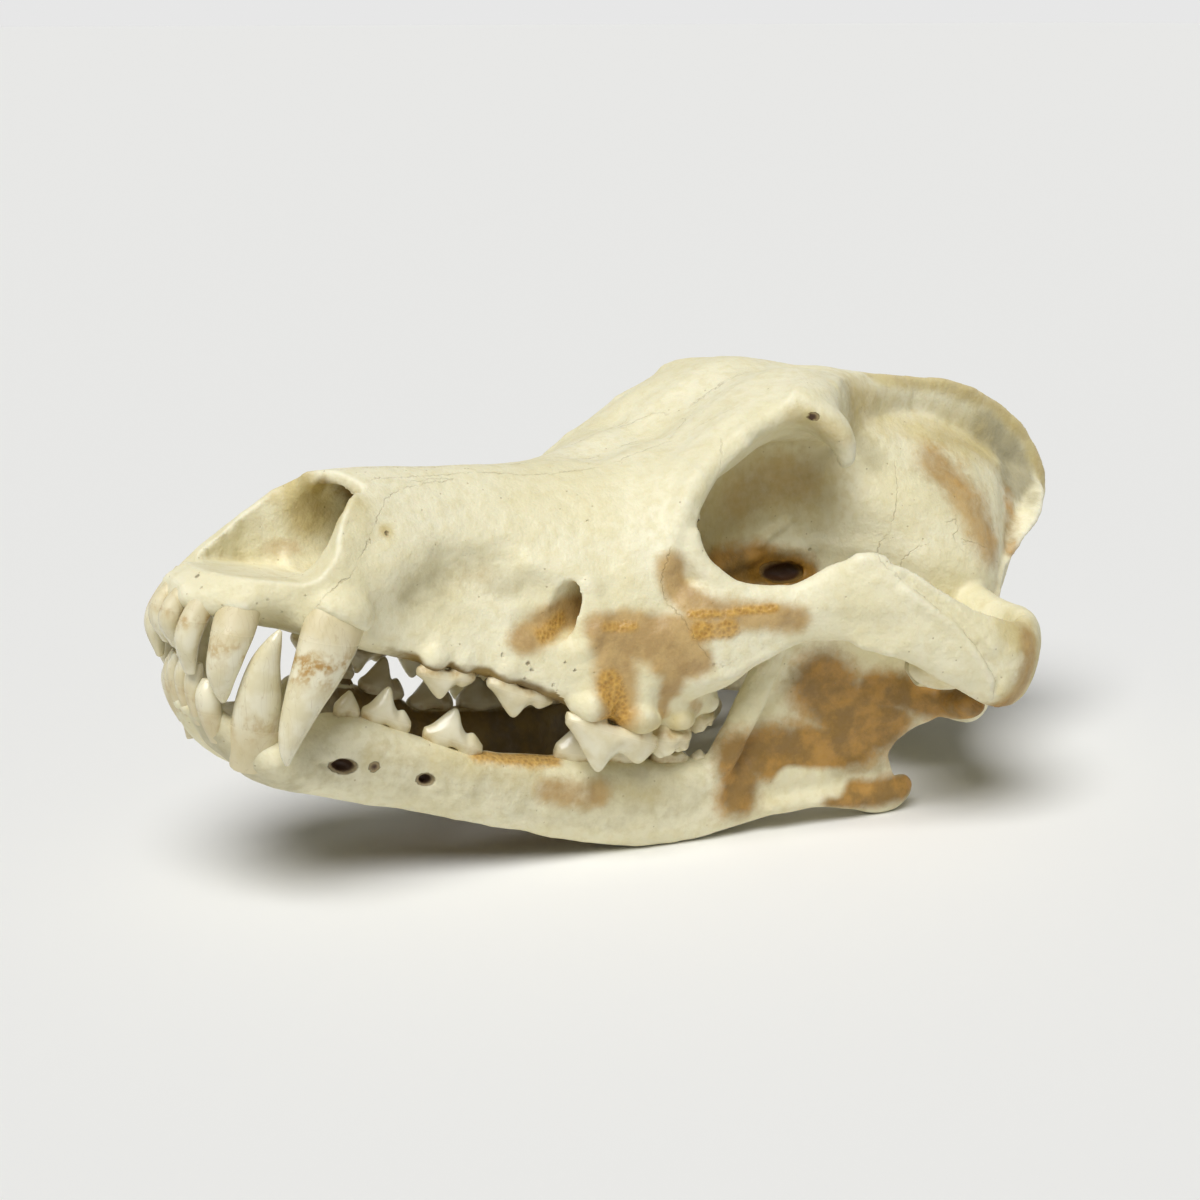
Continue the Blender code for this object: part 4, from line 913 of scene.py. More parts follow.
def half_jaw(side_name):
    side = SIDES[side_name]
    forms = [
        body("jaw body", JAW_BODY, 80),
        board("ramus", RAMUS, -1.8, 3.6, 1),
        tube("ramus ridge", RAMUS_RIDGE),
        tube("angular process", ANGULAR_PROCESS),
        tube("condyle neck", CONDYLE_NECK),
        tube("jaw condyle", CONDYLE),
    ]
    bone = fuse(f"jaw_bone_{side_name}", forms, JAW_GRAIN)
    soften(bone, 8)
    places, normals = points_of(bone)
    for jaw_stroke in JAW_STROKES + (EDGE_STROKES[side],):
        stroke(places, normals, *jaw_stroke)
    place_points(bone, places)
    bend_jaw(bone, side)
    combine(bone, tooth_beds("lower", side_name, LOWER_FRONT, LOWER_CHEEK, 1), "UNION")
    rebuild(bone, JAW_GRAIN)
    soften(bone, 5)
    places, normals = points_of(bone)
    wrinkle(places, normals, 8.0, 0.45)
    wrinkle(places, normals, 3.0, 0.14)
    place_points(bone, places)
    cutters = [block("other half", (-20, CHIN_GAP * side, -60), (80, -60 * side, 0))]
    for (x, y, z), half_sizes in JAW_HOLES:
        cutters.append(ellipsoid("nerve hole", (x, side * y, z), half_sizes, 8))
    combine(bone, cutters, "DIFFERENCE")
    rebuild(bone, JAW_GRAIN)
    soften(bone, 2)
    return bone


jaws = {side_name: half_jaw(side_name) for side_name in SIDES}
print("jaw:", [len(jaw.data.vertices) for jaw in jaws.values()], "points")

# %% [markdown]
# The teeth are made from their tables, all those of one side and one jaw as one piece. Each point keeps
# three numbers for the enamel: how far it is above the tooth's neck, whether the tooth is one of the
# long front ones, and how brown it is.

# %% Loft the teeth
def write_numbers(obj, name, values):
    """Stores one number for each point, which a material can read by name."""
    found = obj.data.attributes.new(name, "FLOAT", "POINT")
    found.data.foreach_set("value", np.asarray(values, np.float32))


# how brown a front tooth is, how far from its neck and how wide, by the tooth and the way it points
TOOTH_STAINS = {
    ("canine", -1): (1.0, 7.5, 4.0), ("i3", -1): (0.55, 6.0, 3.0), ("i2", -1): (0.8, 1.0, 2.0),
    ("i1", -1): (0.6, 1.0, 2.0), ("canine", 1): (0.35, 2.0, 4.0),
}


def front_tooth(name, path, side, facing):
    """An incisor or a canine: a tapering tube from its root to its tip."""
    turn = math.radians(facing)
    outwards = (-math.cos(turn), side * math.sin(turn), 0)
    crown = tube(name, mirrored(path, side), 40, 24, up=outwards)
    rebuild(crown, TOOTH_GRAIN)
    soften(crown, 24)
    places, _ = points_of(crown)
    way = math.copysign(1, path[-1][2] - path[0][2])
    depth = way * (places[:, 2] - path[1][2])
    write_numbers(crown, "above_neck", depth)
    write_numbers(crown, "front_tooth", np.ones(len(places)))
    amount, middle, spread = TOOTH_STAINS.get((name.split()[0], way), (0.3, 0.0, 1.5))
    write_numbers(crown, "tooth_stain", amount * np.exp(-(((depth - middle) / spread) ** 2)))
    return crown


def crown_ring(half, tall, low, edge, inner, outside, inside):
    """Across and up, from the neck's inner side round the outer side and over the edge."""
    return np.array([
        (-0.5, low - 1), (0.5, low - 1), (0.8, low), (0.95, low + 0.12 * tall), (1.0, 0.3 * tall),
        (0.93, 0.5 * tall), (outside + edge * 0.3, 0.75 * tall), ((outside + edge) / 2, 0.92 * tall),
        (edge, tall), ((edge * 0.6 - inside) / 2, (1 + inner) / 2 * tall),
        (edge * 0.4 - inside, inner * 0.85 * tall), (-0.93, 0.5 * inner * tall),
        (-1.0, 0.3 * inner * tall), (-0.95, low + 0.1 * tall), (-0.8, low),
    ]) * (half, 1)


def cheek_tooth(name, row, side, way):
    """A crown lofted along its length on its roots. way is 1 if it stands up and -1 if it hangs."""
    x, y, z, length, width, height, turn, slope, form = row
    cusps, edge, inner, outside, inside = TOOTH_FORMS[form]
    turn, slope = math.radians(turn), math.radians(slope)

    def placed(along, points):
        """Across and up on the tooth's own section, set in the jaw."""
        out = points[:, 0]
        return np.column_stack([
            x + along * math.cos(turn) - out * math.sin(turn),
            side * (y + along * math.sin(turn) + out * math.cos(turn)),
            z + along * math.tan(slope) + way * points[:, 1],
        ])

    rings = []
    profile = smooth_rows(cusps, 60)
    for share in np.linspace(0, 1, 45):
        tall = height * np.interp(share, profile[:, 0], profile[:, 1])
        rounded = (1 - abs(2 * share - 1) ** 2.4) ** 0.55
        half = width / 2 * (0.25 + 0.6 * rounded + 0.15 * rounded * tall / height)
        arched = 1.2 * math.cos(math.pi * (2 * share - 1) / 1.1) ** 2 if form != "grinder" else 0
        ring = crown_ring(half, tall, arched - 0.4, edge, inner, outside, inside)
        ring = smooth_rows(np.vstack([ring, ring[:1]]), 46)[:-1]
        rings.append(placed((share - 0.5) * length, ring))
    parts = [loft(name, rings)]
    turns = np.linspace(0, 2 * math.pi, 16, endpoint=False)
    circle = np.column_stack([np.cos(turns), np.sin(turns)])
    roots, half_root = ((0.5,), 0.416) if form == "peg" else ((0.25, 0.75), 0.26)
    for share in roots:
        root_rings = []
        for up, thick in ROOT_ROWS:
            along = (share - 0.5) * length + circle[:, 0] * length * half_root * thick
            across = circle[:, 1] * width / 2 * thick
            spot = placed(0, np.column_stack([across, np.full(16, up)]))
            spot[:, 0] += along * math.cos(turn)
            spot[:, 1] += side * along * math.sin(turn)
            spot[:, 2] += along * math.tan(slope)
            root_rings.append(spot)
        parts.append(loft(f"{name} root", root_rings))
    crown = fuse(name, parts, TOOTH_GRAIN)
    soften(crown, 7)
    places, _ = points_of(crown)
    neck = z + (places[:, 0] - x) * math.tan(slope) / math.cos(turn)
    write_numbers(crown, "above_neck", way * (places[:, 2] - neck))
    write_numbers(crown, "front_tooth", np.zeros(len(places)))
    write_numbers(crown, "tooth_stain", 0.5 * np.exp(-(((places[:, 2] - neck) / 1.2) ** 2)))
    return crown


def tooth_row(jaw, side_name, front, cheek, way):
    """Front teeth and cheek teeth of one side, each group joined into one piece."""
    side = SIDES[side_name]
    group = [
        front_tooth(f"{name} {side_name}", path, side, FACING[name])
        for name, path in front.items()
    ]
    group += [
        cheek_tooth(f"{name} {side_name}", row, side, way)
        for name, *row in cheek_rows(jaw, side_name, cheek, way)
    ]
    choose(*group)
    bpy.ops.object.join()
    made = bpy.context.object
    made.name = f"{jaw}_teeth_{side_name}"
    return made


teeth = {}
for side_name in SIDES:
    teeth["upper", side_name] = tooth_row("upper", side_name, UPPER_FRONT, UPPER_CHEEK, -1)
    teeth["lower", side_name] = tooth_row("lower", side_name, LOWER_FRONT, LOWER_CHEEK, 1)
print({"_".join(key): len(group.data.polygons) for key, group in teeth.items()})

# %% [markdown]
# ## Where the colours lie
# The bone's colours follow its shape and its history: shade is painted into the hollows, the orbits, the
# nose and the mouth, a highlight is painted onto the ridges, and grease and tannin have stained some places
# amber.
# Painting needs a window, so each stain or patch of painted shade is a stroke that writes a number on the
# points it covers. The material reads these numbers by name.

# %% Stains and painted shade of the left side, and how they repeat on the right
# colour, path (out from the midline), radius, strength
STAINS_AND_SHADE = (
    ("brown", ((95.5, 35.8, 9.5), (101.7, 37.5, 11.0), (110.5, 40.4, 11.4), (119.4, 45.1, 13.0)), 4.2, 1.0),
    ("brown", ((98.4, 37.2, 7.0), (108.3, 40.4, 7.6), (116.5, 44.0, 8.3)), 5.6, 1.0),
    ("brown", ((112.0, 42.5, 4.0), (117.0, 44.0, 3.0), (121.0, 45.5, 5.0)), 4.4, 0.95),
    ("brown", ((100.0, 38.2, 5.0), (101.4, 39.0, -2.5), (103.5, 39.4, -11.0)), 6.0, 1.0),
    ("brown", ((114.5, 43.4, 5.8), (116.0, 43.4, 0.7), (116.8, 41.0, -4.0)), 3.6, 0.9),
    ("brown", ((116.6, 40.5, -7.0), (117.2, 39.7, -10.5)), 2.6, 0.8),
    ("brown", ((112.9, 37.8, 27), (114.6, 38.4, 22.5), (117.6, 42.3, 19.6), (122, 45.1, 18.2)), 4.6, 0.9),
    ("brown", ((122, 45.1, 18.2), (129.4, 47.8, 18.4), (136.7, 50.6, 19.4), (143.3, 53, 19.4)), 4.4, 0.85),
    ("brown", ((79.0, 29.2, 4.2), (84.0, 29.0, 7.5), (89.2, 27.0, 10.4), (95.0, 25.0, 11.4)), 4.6, 1.0),
    # painted shade in the hollow of the muzzle above the premolars
    ("grey", ((51.0, 20.4, 11.0), (60.0, 20.6, 15.0), (68.0, 21.5, 17.0), (75.0, 23.0, 17.5)), 6.5, 0.5),
    ("brown", ((64.0, 20.6, 18.0), (69.0, 21.0, 19.0)), 3.5, 0.4),
    ("brown", ((126.6, 39.2, -6.8), (129.9, 37.6, -8.7)), 2.6, 0.6),
    ("brown", ((94.0, 30.2, -34.2), (100.8, 31.5, -34.5), (107.2, 32.7, -34.2)), 4.6, 0.75),
    ("amber", ((99.9, 38.7, -3.3), (101.4, 39.2, -6.5), (103.8, 39.2, -11.5)), 3.4, 1.0),
    ("amber", ((119.6, 45.4, 13.0), (123.3, 46.6, 13.6), (127.2, 47.6, 14.6)), 2.6, 1.0),
    ("amber", ((117.5, 43.2, 16.6), (124.3, 45.9, 17.8), (131.7, 48.3, 20), (137.7, 50.5, 21.5)), 1.4, 0.8),
    ("amber", ((97.0, 36.2, 10.0), (104.0, 38.4, 11.2)), 1.8, 0.7),
    ("amber", ((75.7, 23.4, -27), (80, 23.8, -27.4), (89.6, 25.1, -28.2), (95.5, 25.8, -27.6)), 3.2, 0.95),
    ("amber", ((84.0, 28.8, 5.5), (90.0, 27.0, 9.5)), 2.8, 0.7),
    ("orange", ((216, 15.6, 64), (221.7, 20.3, 59.2), (226.1, 23.4, 54.4), (227.8, 26.5, 46.5)), 9.0, 0.4),
    ("brown", ((212, 17, 62), (218, 22, 56), (223, 26, 48), (226, 29, 42)), 8.0, 0.75),
    ("orange", ((248.1, 12.1, 57.8), (245.5, 17.0, 50.4), (240.0, 24.3, 41.1)), 4.0, 0.6),
    ("orange", ((166, 41.6, 1.5), (172, 43, -4), (180, 44.5, -9), (186, 46, -8)), 10.0, 1.0),
    ("orange", ((180.0, 46.5, 1.0), (190.0, 48.5, 2.0), (199.0, 51.0, 1.0)), 6.0, 1.0),
    ("orange", ((143.7, 40.1, -20.0), (147.5, 39.3, -26.0), (148.2, 39.1, -31.0)), 7.5, 0.95),
    ("orange", ((150, 39.5, -20), (160, 40, -18.5), (170, 42, -17), (180, 44, -14)), 8.5, 1.0),
    ("orange", ((176.0, 44.4, -28.5), (187.3, 46.0, -27.6), (197.0, 46.5, -25.0)), 4.6, 0.95),
    ("orange", ((200.0, 47.0, -22.0), (198.0, 45.0, -26.0)), 3.5, 0.9),
    ("orange", ((152.0, 13.0, 28.0), (158.0, 13.5, 27.0), (167.0, 15.0, 26.0)), 4.0, 0.5),
    ("grey", ((218.0, 10.6, 70.0), (228.0, 9.5, 69.5), (236.0, 8.9, 67.7)), 5.0, 0.5),
    ("grey", ((243.5, 1.7, 74), (253.3, 1.7, 68.2), (259.4, 3, 63), (251, 9, 60.5)), 7.0, 0.9),
    ("grey", ((260.3, 9.3, 58.0), (256.0, 14.0, 53.0)), 3.0, 0.6),
    ("grey", ((176.3, 43.7, -21.2), (188.1, 45.3, -19.0)), 4.0, 0.6),
    ("grey", ((80.9, 27.7, -38.4), (98.0, 30.7, -40.2), (114.1, 33.1, -40.4)), 5.5, 0.45),
    ("ochre", ((196, 1.5, 83), (222, 1.5, 85), (245, 1.3, 82.5), (262, 1.3, 74), (272, 1, 62)), 4.0, 0.8),
    ("ochre", ((203.0, 69.0, 25.0), (212.0, 68.0, 17.0), (207.0, 71.0, 7.0)), 9.0, 0.8),
    ("brown", ((207.8, 71.8, 23.4), (208, 73, 17), (207.5, 72, 9), (204, 70, 3)), 5.0, 0.75),
    ("ochre", ((185, 12, 76), (203, 12, 76), (225, 11, 74), (240, 9, 70)), 10.0, 0.75),
    ("grey", ((205.0, 22.0, 62.0), (212.0, 24.0, 56.0)), 8.0, 0.45),
    # painted shade along the lower jaw, below its teeth, where the upper jaw overhangs it
    ("grey", ((30, 17, -33), (60, 22, -34), (96, 29, -34.5), (132, 38, -34)), 9.0, 0.5),
    ("ochre", ((48.0, 20.0, -29.0), (90.0, 27.0, -32.0), (124.0, 34.0, -33.0)), 5.0, 0.45),
    ("grey", ((8.0, 9.0, -31.0), (16.0, 13.0, -37.0), (26.0, 15.0, -41.0)), 9.0, 0.65),
    ("ochre", ((166.0, 24.0, 64.0), (172.0, 22.0, 56.0)), 7.0, 0.5),
    ("orange", ((232.0, 31.0, 30.0), (228.0, 33.0, 22.0)), 5.0, 0.35),
    ("grey", ((176.0, 13.0, 76.0), (184.0, 13.0, 70.0), (190.0, 17.0, 62.0)), 7.0, 0.55),
    ("grey", ((148.0, 32.0, 71.0), (158.0, 35.0, 67.0)), 3.5, 0.35),
    ("ochre", ((146.0, 33.0, 69.0), (155.0, 35.0, 68.0), (161.0, 35.5, 66.0)), 4.0, 0.7),
    ("ochre", ((110.0, 42.0, -14.0), (118.0, 41.0, -13.0), (126.0, 39.0, -12.0)), 4.0, 0.6),
    ("ochre", ((150.0, 52.0, 12.0), (170.0, 60.0, 12.0), (190.0, 66.0, 8.0)), 4.0, 0.5),
    ("ochre", ((41.0, 17.5, 25.2),), 2.4, 0.8),
    ("ochre", ((156.0, 40.0, -34.0), (176.0, 44.0, -32.0)), 3.0, 0.4),
)
# a strip of the left jaw with no orange: its path and its radius
BARE = (((163.0, 40.4, -26.3), (176.2, 42.9, -25.6)), 3.6)
# painted shade deep in the orbits and the nose, and round the jaw's condyle in its socket, which both sides
# have alike
SHADE_IN_SPACES = (
    ("brown", ((150.0, 12.5, 44.0), (158.0, 13.0, 50.0), (167.0, 14.5, 52.0)), 9.0, 0.5),
    ("ochre", ((140.0, 12.5, 34.0), (150.0, 12.5, 48.0), (172.0, 16.0, 52.0)), 13.0, 0.7),
    ("ochre", ((22.0, 8.0, 31.0), (30.0, 8.0, 30.0), (34.0, 10.0, 24.0)), 7.0, 0.9),
    ("brown", ((25.0, 10.0, 14.0), (31.0, 10.5, 14.0)), 3.5, 0.5),
    ("umber", ((31.0, 0.0, 32.6), (34.0, 6.0, 31.6), (34.5, 11.5, 29.6)), 2.2, 0.8),
    ("orange", ((197.0, 54.0, 1.0), (204.0, 62.0, 2.0), (204.0, 67.0, 2.5)), 7.0, 0.85),
    ("orange", ((146.0, 12.5, 24.0), (158.0, 13.5, 27.0), (172.0, 16.0, 26.0)), 6.5, 1.0),
    ("umber", ((160.0, 13.5, 26.0), (174.0, 16.0, 25.0)), 4.5, 1.0),
    ("umber", ((174.0, 56.0, 2.0), (190.0, 58.0, 4.0), (203.0, 60.0, 6.0)), 6.0, 0.6),
)
COLOURS = ("brown", "amber", "orange", "grey", "ochre", "umber")
RIGHT_SHIFT, RIGHT_SIZE, RIGHT_STRENGTH = 4.0, (0.7, 1.1), (0.35, 1.0)


def mirrored_stains_and_shade(seed=7):
    """The right side has the same kinds of stain and painted shade, but moved, smaller and fainter by
    chance.
    """
    chance = np.random.default_rng(seed)
    found = []
    for colour, path, radius, strength in STAINS_AND_SHADE:
        moved = np.array(path) + chance.uniform(-RIGHT_SHIFT, RIGHT_SHIFT, 3) * (1, 0, 1)
        size = radius * chance.uniform(*RIGHT_SIZE)
        found.append((colour, moved, size, strength * chance.uniform(*RIGHT_STRENGTH)))
    return found


NOSE_AXIS = 21.0  # its height


def painted_inside_shade(places, normals):
    """How much painted shade a point gets deep in the nose or the mouth, where the light reaches least."""
    x, y, z = places.T
    towards_axis = np.column_stack([np.zeros(len(x)), -y, NOSE_AXIS - z])
    towards_axis /= np.linalg.norm(towards_axis, axis=1)[:, None] + 1e-9
    facing_axis = np.clip((towards_axis * normals).sum(axis=1) * 2, 0, 1)
    nose = (np.abs(y) < 12.5) & (z > 8) & (z < 36) & (x > 22) & (x < 130)
    roof = 0.6 * np.clip((z - 26) / 6, 0, 1)
    nose = np.where(nose, np.clip((x - 38) / 14 + roof, 0, 1) * facing_axis, 0)
    towards_middle = np.clip(-normals[:, 1] * np.sign(y) * 1.6, 0, 1)
    down = np.clip(-normals[:, 2] * 1.6, 0, 1)
    along = np.clip((x - 36) / 20, 0, 1) * np.clip((160 - x) / 12, 0, 1)
    jaw = np.where((z < -21) & (np.abs(y) < 44), towards_middle * along, 0)
    mouth_roof = (z < 0) & (z > -20) & (np.abs(y) < 33)
    palate = np.where(mouth_roof, np.maximum(down, towards_middle) * along, 0)
    return np.maximum(nose, np.maximum(jaw, palate) * 0.9)


def stain_and_shade_amounts(places, normals):
    amounts = {colour: np.zeros(len(places)) for colour in COLOURS}
    # umber starts as painted shade deep in the nose and the mouth
    amounts["umber"] = painted_inside_shade(places, normals)
    for side, table in ((LEFT, STAINS_AND_SHADE), (RIGHT, mirrored_stains_and_shade())):
        for colour, path, radius, strength in (*table, *SHADE_IN_SPACES):
            path = np.array(path, float) * (1, side, 1)
            reach = radius * 1.6
            low, high = path.min(axis=0) - reach, path.max(axis=0) + reach
            near = np.flatnonzero(((places > low) & (places < high)).all(axis=1))
            if len(near):
                far = along_path(places[near], path)[0]
                amount = strength * np.clip((reach - far) / (reach - 0.4 * radius), 0, 1)
                amounts[colour][near] = np.maximum(amounts[colour][near], amount)
    bare_path, bare_radius = BARE
    far = along_path(places, np.array(bare_path) * (1, LEFT, 1))[0]
    amounts["orange"] *= np.clip(far / bare_radius - 0.5, 0, 1)
    return amounts


print("stains:", len(STAINS_AND_SHADE) + len(SHADE_IN_SPACES), "on each side")

# %% [markdown]
# Sutures are the jagged joints between the bones. A line finer than the mesh can't be painted on its
# points, so each point stores how far it lies from the nearest suture, with a sign for the side it is
# on. Between points that number runs evenly through zero, and the material draws the line there.

# %% Sutures and cracks
SUTURES = (
    ((21.3, 21.9, 0.5), (21.0, 22.8, 2.8), (20.4, 22.8, 3.7), (22.1, 23.7, 4.5), (23.1, 24.0, 6.1),
     (24.7, 24.2, 8.7), (27.3, 24.0, 12.1), (30.9, 23.5, 14.7), (32.6, 22.1, 17.8), (35.0, 20.5, 20.6),
     (38.5, 17.0, 27.0), (43.0, 12.0, 33.0), (52.0, 9.0, 36.8), (62.0, 7.5, 39.0)),
    ((41.0, 7.0, 36.0), (48.8, 6.0, 37.5), (60.3, 5.3, 39.2), (69.1, 4.9, 40.7), (77.2, 6.0, 41.6),
     (87.6, 8.4, 42.9), (98.3, 10.1, 45.8), (108.6, 12.1, 50.0), (118.2, 12.6, 55.2), (125.2, 13.3, 58.3),
     (129.1, 15.9, 61.9), (135.9, 20.3, 68.0)),
    ((120.0, 12.7, 56.0), (126.0, 9.5, 60.0), (130.0, 6.5, 63.0), (131.0, 3.0, 63.5), (127.0, 0.5, 61.5)),
    ((36.0, 0.0, 36.0), (60.0, 0.4, 39.5), (85.0, -0.3, 42.5), (105.0, 0.2, 48.0), (127.0, 0.0, 60.0)),
    ((127.0, 0.0, 61.0), (145.0, 0.5, 74.0), (168.0, 0.0, 80.0)),
    ((112.5, 34.0, 33.0), (111.5, 37.1, 28.8), (110.4, 37.3, 24.9), (111.0, 38.2, 21.2), (112.5, 39.5, 17.7),
     (115.3, 42.4, 15.8), (118.5, 44.5, 11.0), (122.5, 46.5, 7.0), (127.0, 47.0, 5.0), (131.0, 47.5, 7.0)),
    ((128.6, 27.4, 58.9), (126.5, 30.5, 55.2), (125.4, 32.3, 51.5), (123.6, 33.1, 48.8), (121.6, 33.6, 46.0),
     (120.0, 34.4, 43.9)),
    ((161.0, 57.5, 38.5), (162.7, 60.2, 36.8), (167.7, 63.5, 33.5), (173.3, 65.9, 30.5), (177.7, 67.8, 27.6),
     (183.0, 69.7, 25.3), (186.1, 71.1, 22.4), (190.3, 72.2, 18.9), (194.3, 73.1, 15.1), (197.2, 73.3, 12.1),
     (198.2, 72.8, 8.8), (197.5, 71.0, 5.5), (194.0, 68.5, 5.0)),
    ((197.6, 16.9, 60.1), (196.9, 20.2, 54.9), (195.4, 22.8, 49.5), (193.6, 24.9, 42.6), (191.1, 24.9, 38.1),
     (189.0, 24.0, 28.0), (187.0, 23.0, 12.0)),
    ((199.0, 29.0, 22.0), (197.0, 27.5, 33.0), (203.0, 30.5, 41.0), (213.0, 32.0, 44.0), (224.0, 31.5, 42.0),
     (232.0, 28.0, 37.0)),
    ((10.0, 0.0, -2.0), (50.0, 0.3, -5.0), (90.0, -0.3, -8.0), (140.0, 0.0, -7.0)),
    ((31.0, 0.5, -3.0), (29.0, 6.0, -3.0), (31.0, 12.0, -3.0), (24.0, 20.0, -3.0)),
    ((90.0, 1.0, -7.0), (88.0, 8.0, -7.0), (96.0, 17.0, -9.0), (110.0, 21.0, -11.0), (124.0, 19.0, -12.0)),
    ((206.0, 0.0, -2.0), (205.0, 8.0, -2.0), (204.0, 12.0, -3.0)),
)
LEFT_CRACKS = (
    ((212.6, 27.8, 47.7), (213.8, 27.6, 48.3), (214.3, 28.3, 47.1), (215.1, 29.1, 45.9), (213.1, 29.6, 44.4),
     (213.2, 30.4, 42.8), (214.7, 31.3, 41.1)),
    ((2.3, 9.9, 9.3), (9.4, 13.8, 10.2), (18.4, 13.9, 11.1)),
)
SEAM_REACH = 4.0


def seam_distances(places, normals):
    """How far each point is from the nearest line, and the same with a sign for the side it is on."""
    lines = [np.array(path) * (1, side, 1) for path in SUTURES for side in (LEFT, RIGHT)]
    lines += [np.array(path) * (1, LEFT, 1) for path in LEFT_CRACKS]
    plain = np.full(len(places), SEAM_REACH)
    signed = np.full(len(places), SEAM_REACH)
    for line in lines:
        line = smooth_rows(line, len(line) * 3)
        low, high = line.min(axis=0) - SEAM_REACH, line.max(axis=0) + SEAM_REACH
        near = np.flatnonzero(((places > low) & (places < high)).all(axis=1))
        if not len(near):
            continue
        far, foot, ahead = along_path(places[near], line)
        apart = places[near] - foot
        apart -= normals[near] * (apart * normals[near]).sum(axis=1)[:, None]
        side_way = (np.cross(ahead, normals[near]) * apart).sum(axis=1)
        closer = far < plain[near]
        plain[near[closer]] = far[closer]
        signed[near[closer]] = np.clip(side_way, -SEAM_REACH, SEAM_REACH)[closer]
    return plain, signed


print("sutures:", len(SUTURES), "on each side, and", len(LEFT_CRACKS), "cracks")

# %% [markdown]
# Small holes let vessels and nerves through. The larger ones of the left side are placed one by one.

# %% Vessel holes
PORES = (
    (-0.4, 6.1, 8.0, 0.9), (-0.8, 10.1, 6.1, 0.6), (3.4, 14.6, 3.1, 0.6), (12.3, 19.2, 6.3, 0.6),
    (20.1, 22.2, 8.6, 0.6), (16.2, 19.4, 3.6, 0.6), (16.1, 20.5, 6.2, 0.5), (24.7, 24.2, 8.7, 1.0),
    (35.5, 22.8, 14.5, 0.6),
    (27.2, 22.8, 15.9, 0.6), (41.3, 18.0, 24.9, 1.0), (45.8, 20.6, 18.9, 0.6), (49.1, 20.5, 12.5, 0.6),
    (55.5, 20.5, 11.6, 0.6), (38.4, 23.0, 6.7, 0.6), (47.7, 20.4, 8.6, 0.6), (72.1, 20.3, 25.5, 0.7),
    (80.0, 22.8, 24.2, 0.7), (68.4, 20.9, 20.6, 0.6), (73.4, 23.9, 13.3, 0.6), (94.5, 23.5, 34.5, 0.6),
    (93.9, 17.4, 40.0, 0.6), (111.7, 29.0, 45.4, 0.7), (116.6, 31.5, 46.7, 1.2), (151.2, 34.6, 70.3, 1.3),
    (73.1, 27.3, 1.6, 0.8), (74.1, 27.8, -0.8, 0.8), (80.4, 30.0, -1.9, 0.9), (81.6, 30.6, -3.4, 0.8),
    (80.6, 29.7, -5.8, 0.7), (87.3, 32.7, -6.4, 0.8), (88.6, 32.9, -7.5, 0.7), (89.1, 33.3, -0.2, 0.7),
    (91.6, 34.7, -1.8, 0.7), (168.8, 15.5, 28.4, 1.6), (159.9, 13.6, 30.0, 0.9), (173.6, 16.8, 33.4, 0.8),
    (124.0, 47.2, 8.7, 0.6), (124.8, 47.0, 4.8, 0.7), (125.9, 46.0, 0.7, 0.6), (40.0, 19.5, -34.5, 0.5),
    (48.3, 20.2, -32.8, 1.0), (36.0, 12.0, -6.0, 1.6), (98.0, 15.0, -8.5, 1.2), (104.0, 17.0, -9.5, 1.0),
)
PORE_REACH = 3.0
PORE_SHARE = 0.75
LIGHT_HOLES = (24, 36.5, 58.5)  # shallow ones, by their x


def pore_distances(places):
    """How far each point is outside the edge of the nearest vessel hole; inside one it is below zero."""
    nearest = np.full(len(places), PORE_REACH)
    for side in (LEFT, RIGHT):
        for x, y, z, radius in PORES:
            middle = np.array((x, side * y, z))
            near = np.flatnonzero((np.abs(places - middle) < PORE_REACH + radius).all(axis=1))
            if len(near):
                far = np.linalg.norm(places[near] - middle, axis=1) - radius * PORE_SHARE
                nearest[near] = np.minimum(nearest[near], far)
        for (x, y, z), half_sizes, *_ in HOLES + JAW_HOLES:
            if x in LIGHT_HOLES:
                continue
            apart = np.linalg.norm((places - (x, side * y, z)) / half_sizes, axis=1)
            # further into a cut hole the number falls lower, so that the material paints darker shade there
            deeper = np.clip((y - side * places[:, 1]) / half_sizes[1] + 0.3, 0, 1)
            edge = (apart - 1) * min(half_sizes)
            nearest = np.minimum(nearest, np.where(edge < 0.6, edge - 0.1 - 2 * deeper, edge))
    return nearest


print("vessel holes:", len(PORES), "on each side")

# %% [markdown]
# How hollow or proud the surface is comes from the mesh itself: a point that lies below the average of
# its surroundings is in a hollow. It is measured on the whole cranium, before it is parted, because a
# cut face would count as an edge.

# %% Measure the hollows
FINE_ROUNDS, BROAD_ROUNDS = 10, 120


def hollowness(obj):
    """How far the surface lies below its smoothed self, over a few millimetres and over a centimetre."""
    places, normals = points_of(obj)
    ends = edges_of(obj)
    fine = smoothed(places, ends, FINE_ROUNDS, (0.5,))
    broad = smoothed(fine, ends, BROAD_ROUNDS, (0.5,))
    return ((fine - places) * normals).sum(axis=1), ((broad - places) * normals).sum(axis=1)


def write_colours(obj, tree, fine, broad):
    """Writes every number that the bone's material reads. tree finds the point that was measured."""
    places, normals = points_of(obj)
    source = np.array([tree.find(place)[1] for place in places])
    write_numbers(obj, "fine_hollow", fine[source])
    write_numbers(obj, "broad_hollow", broad[source])
    for colour, amounts in stain_and_shade_amounts(places, normals).items():
        write_numbers(obj, colour, amounts)
    plain, signed = seam_distances(places, normals)
    write_numbers(obj, "seam_far", plain)
    write_numbers(obj, "seam_side", signed)
    write_numbers(obj, "pore", pore_distances(places))


def tree_of(obj):
    places, _ = points_of(obj)
    tree = KDTree(len(places))
    for k, place in enumerate(places):
        tree.insert(place, k)
    tree.balance()
    return tree


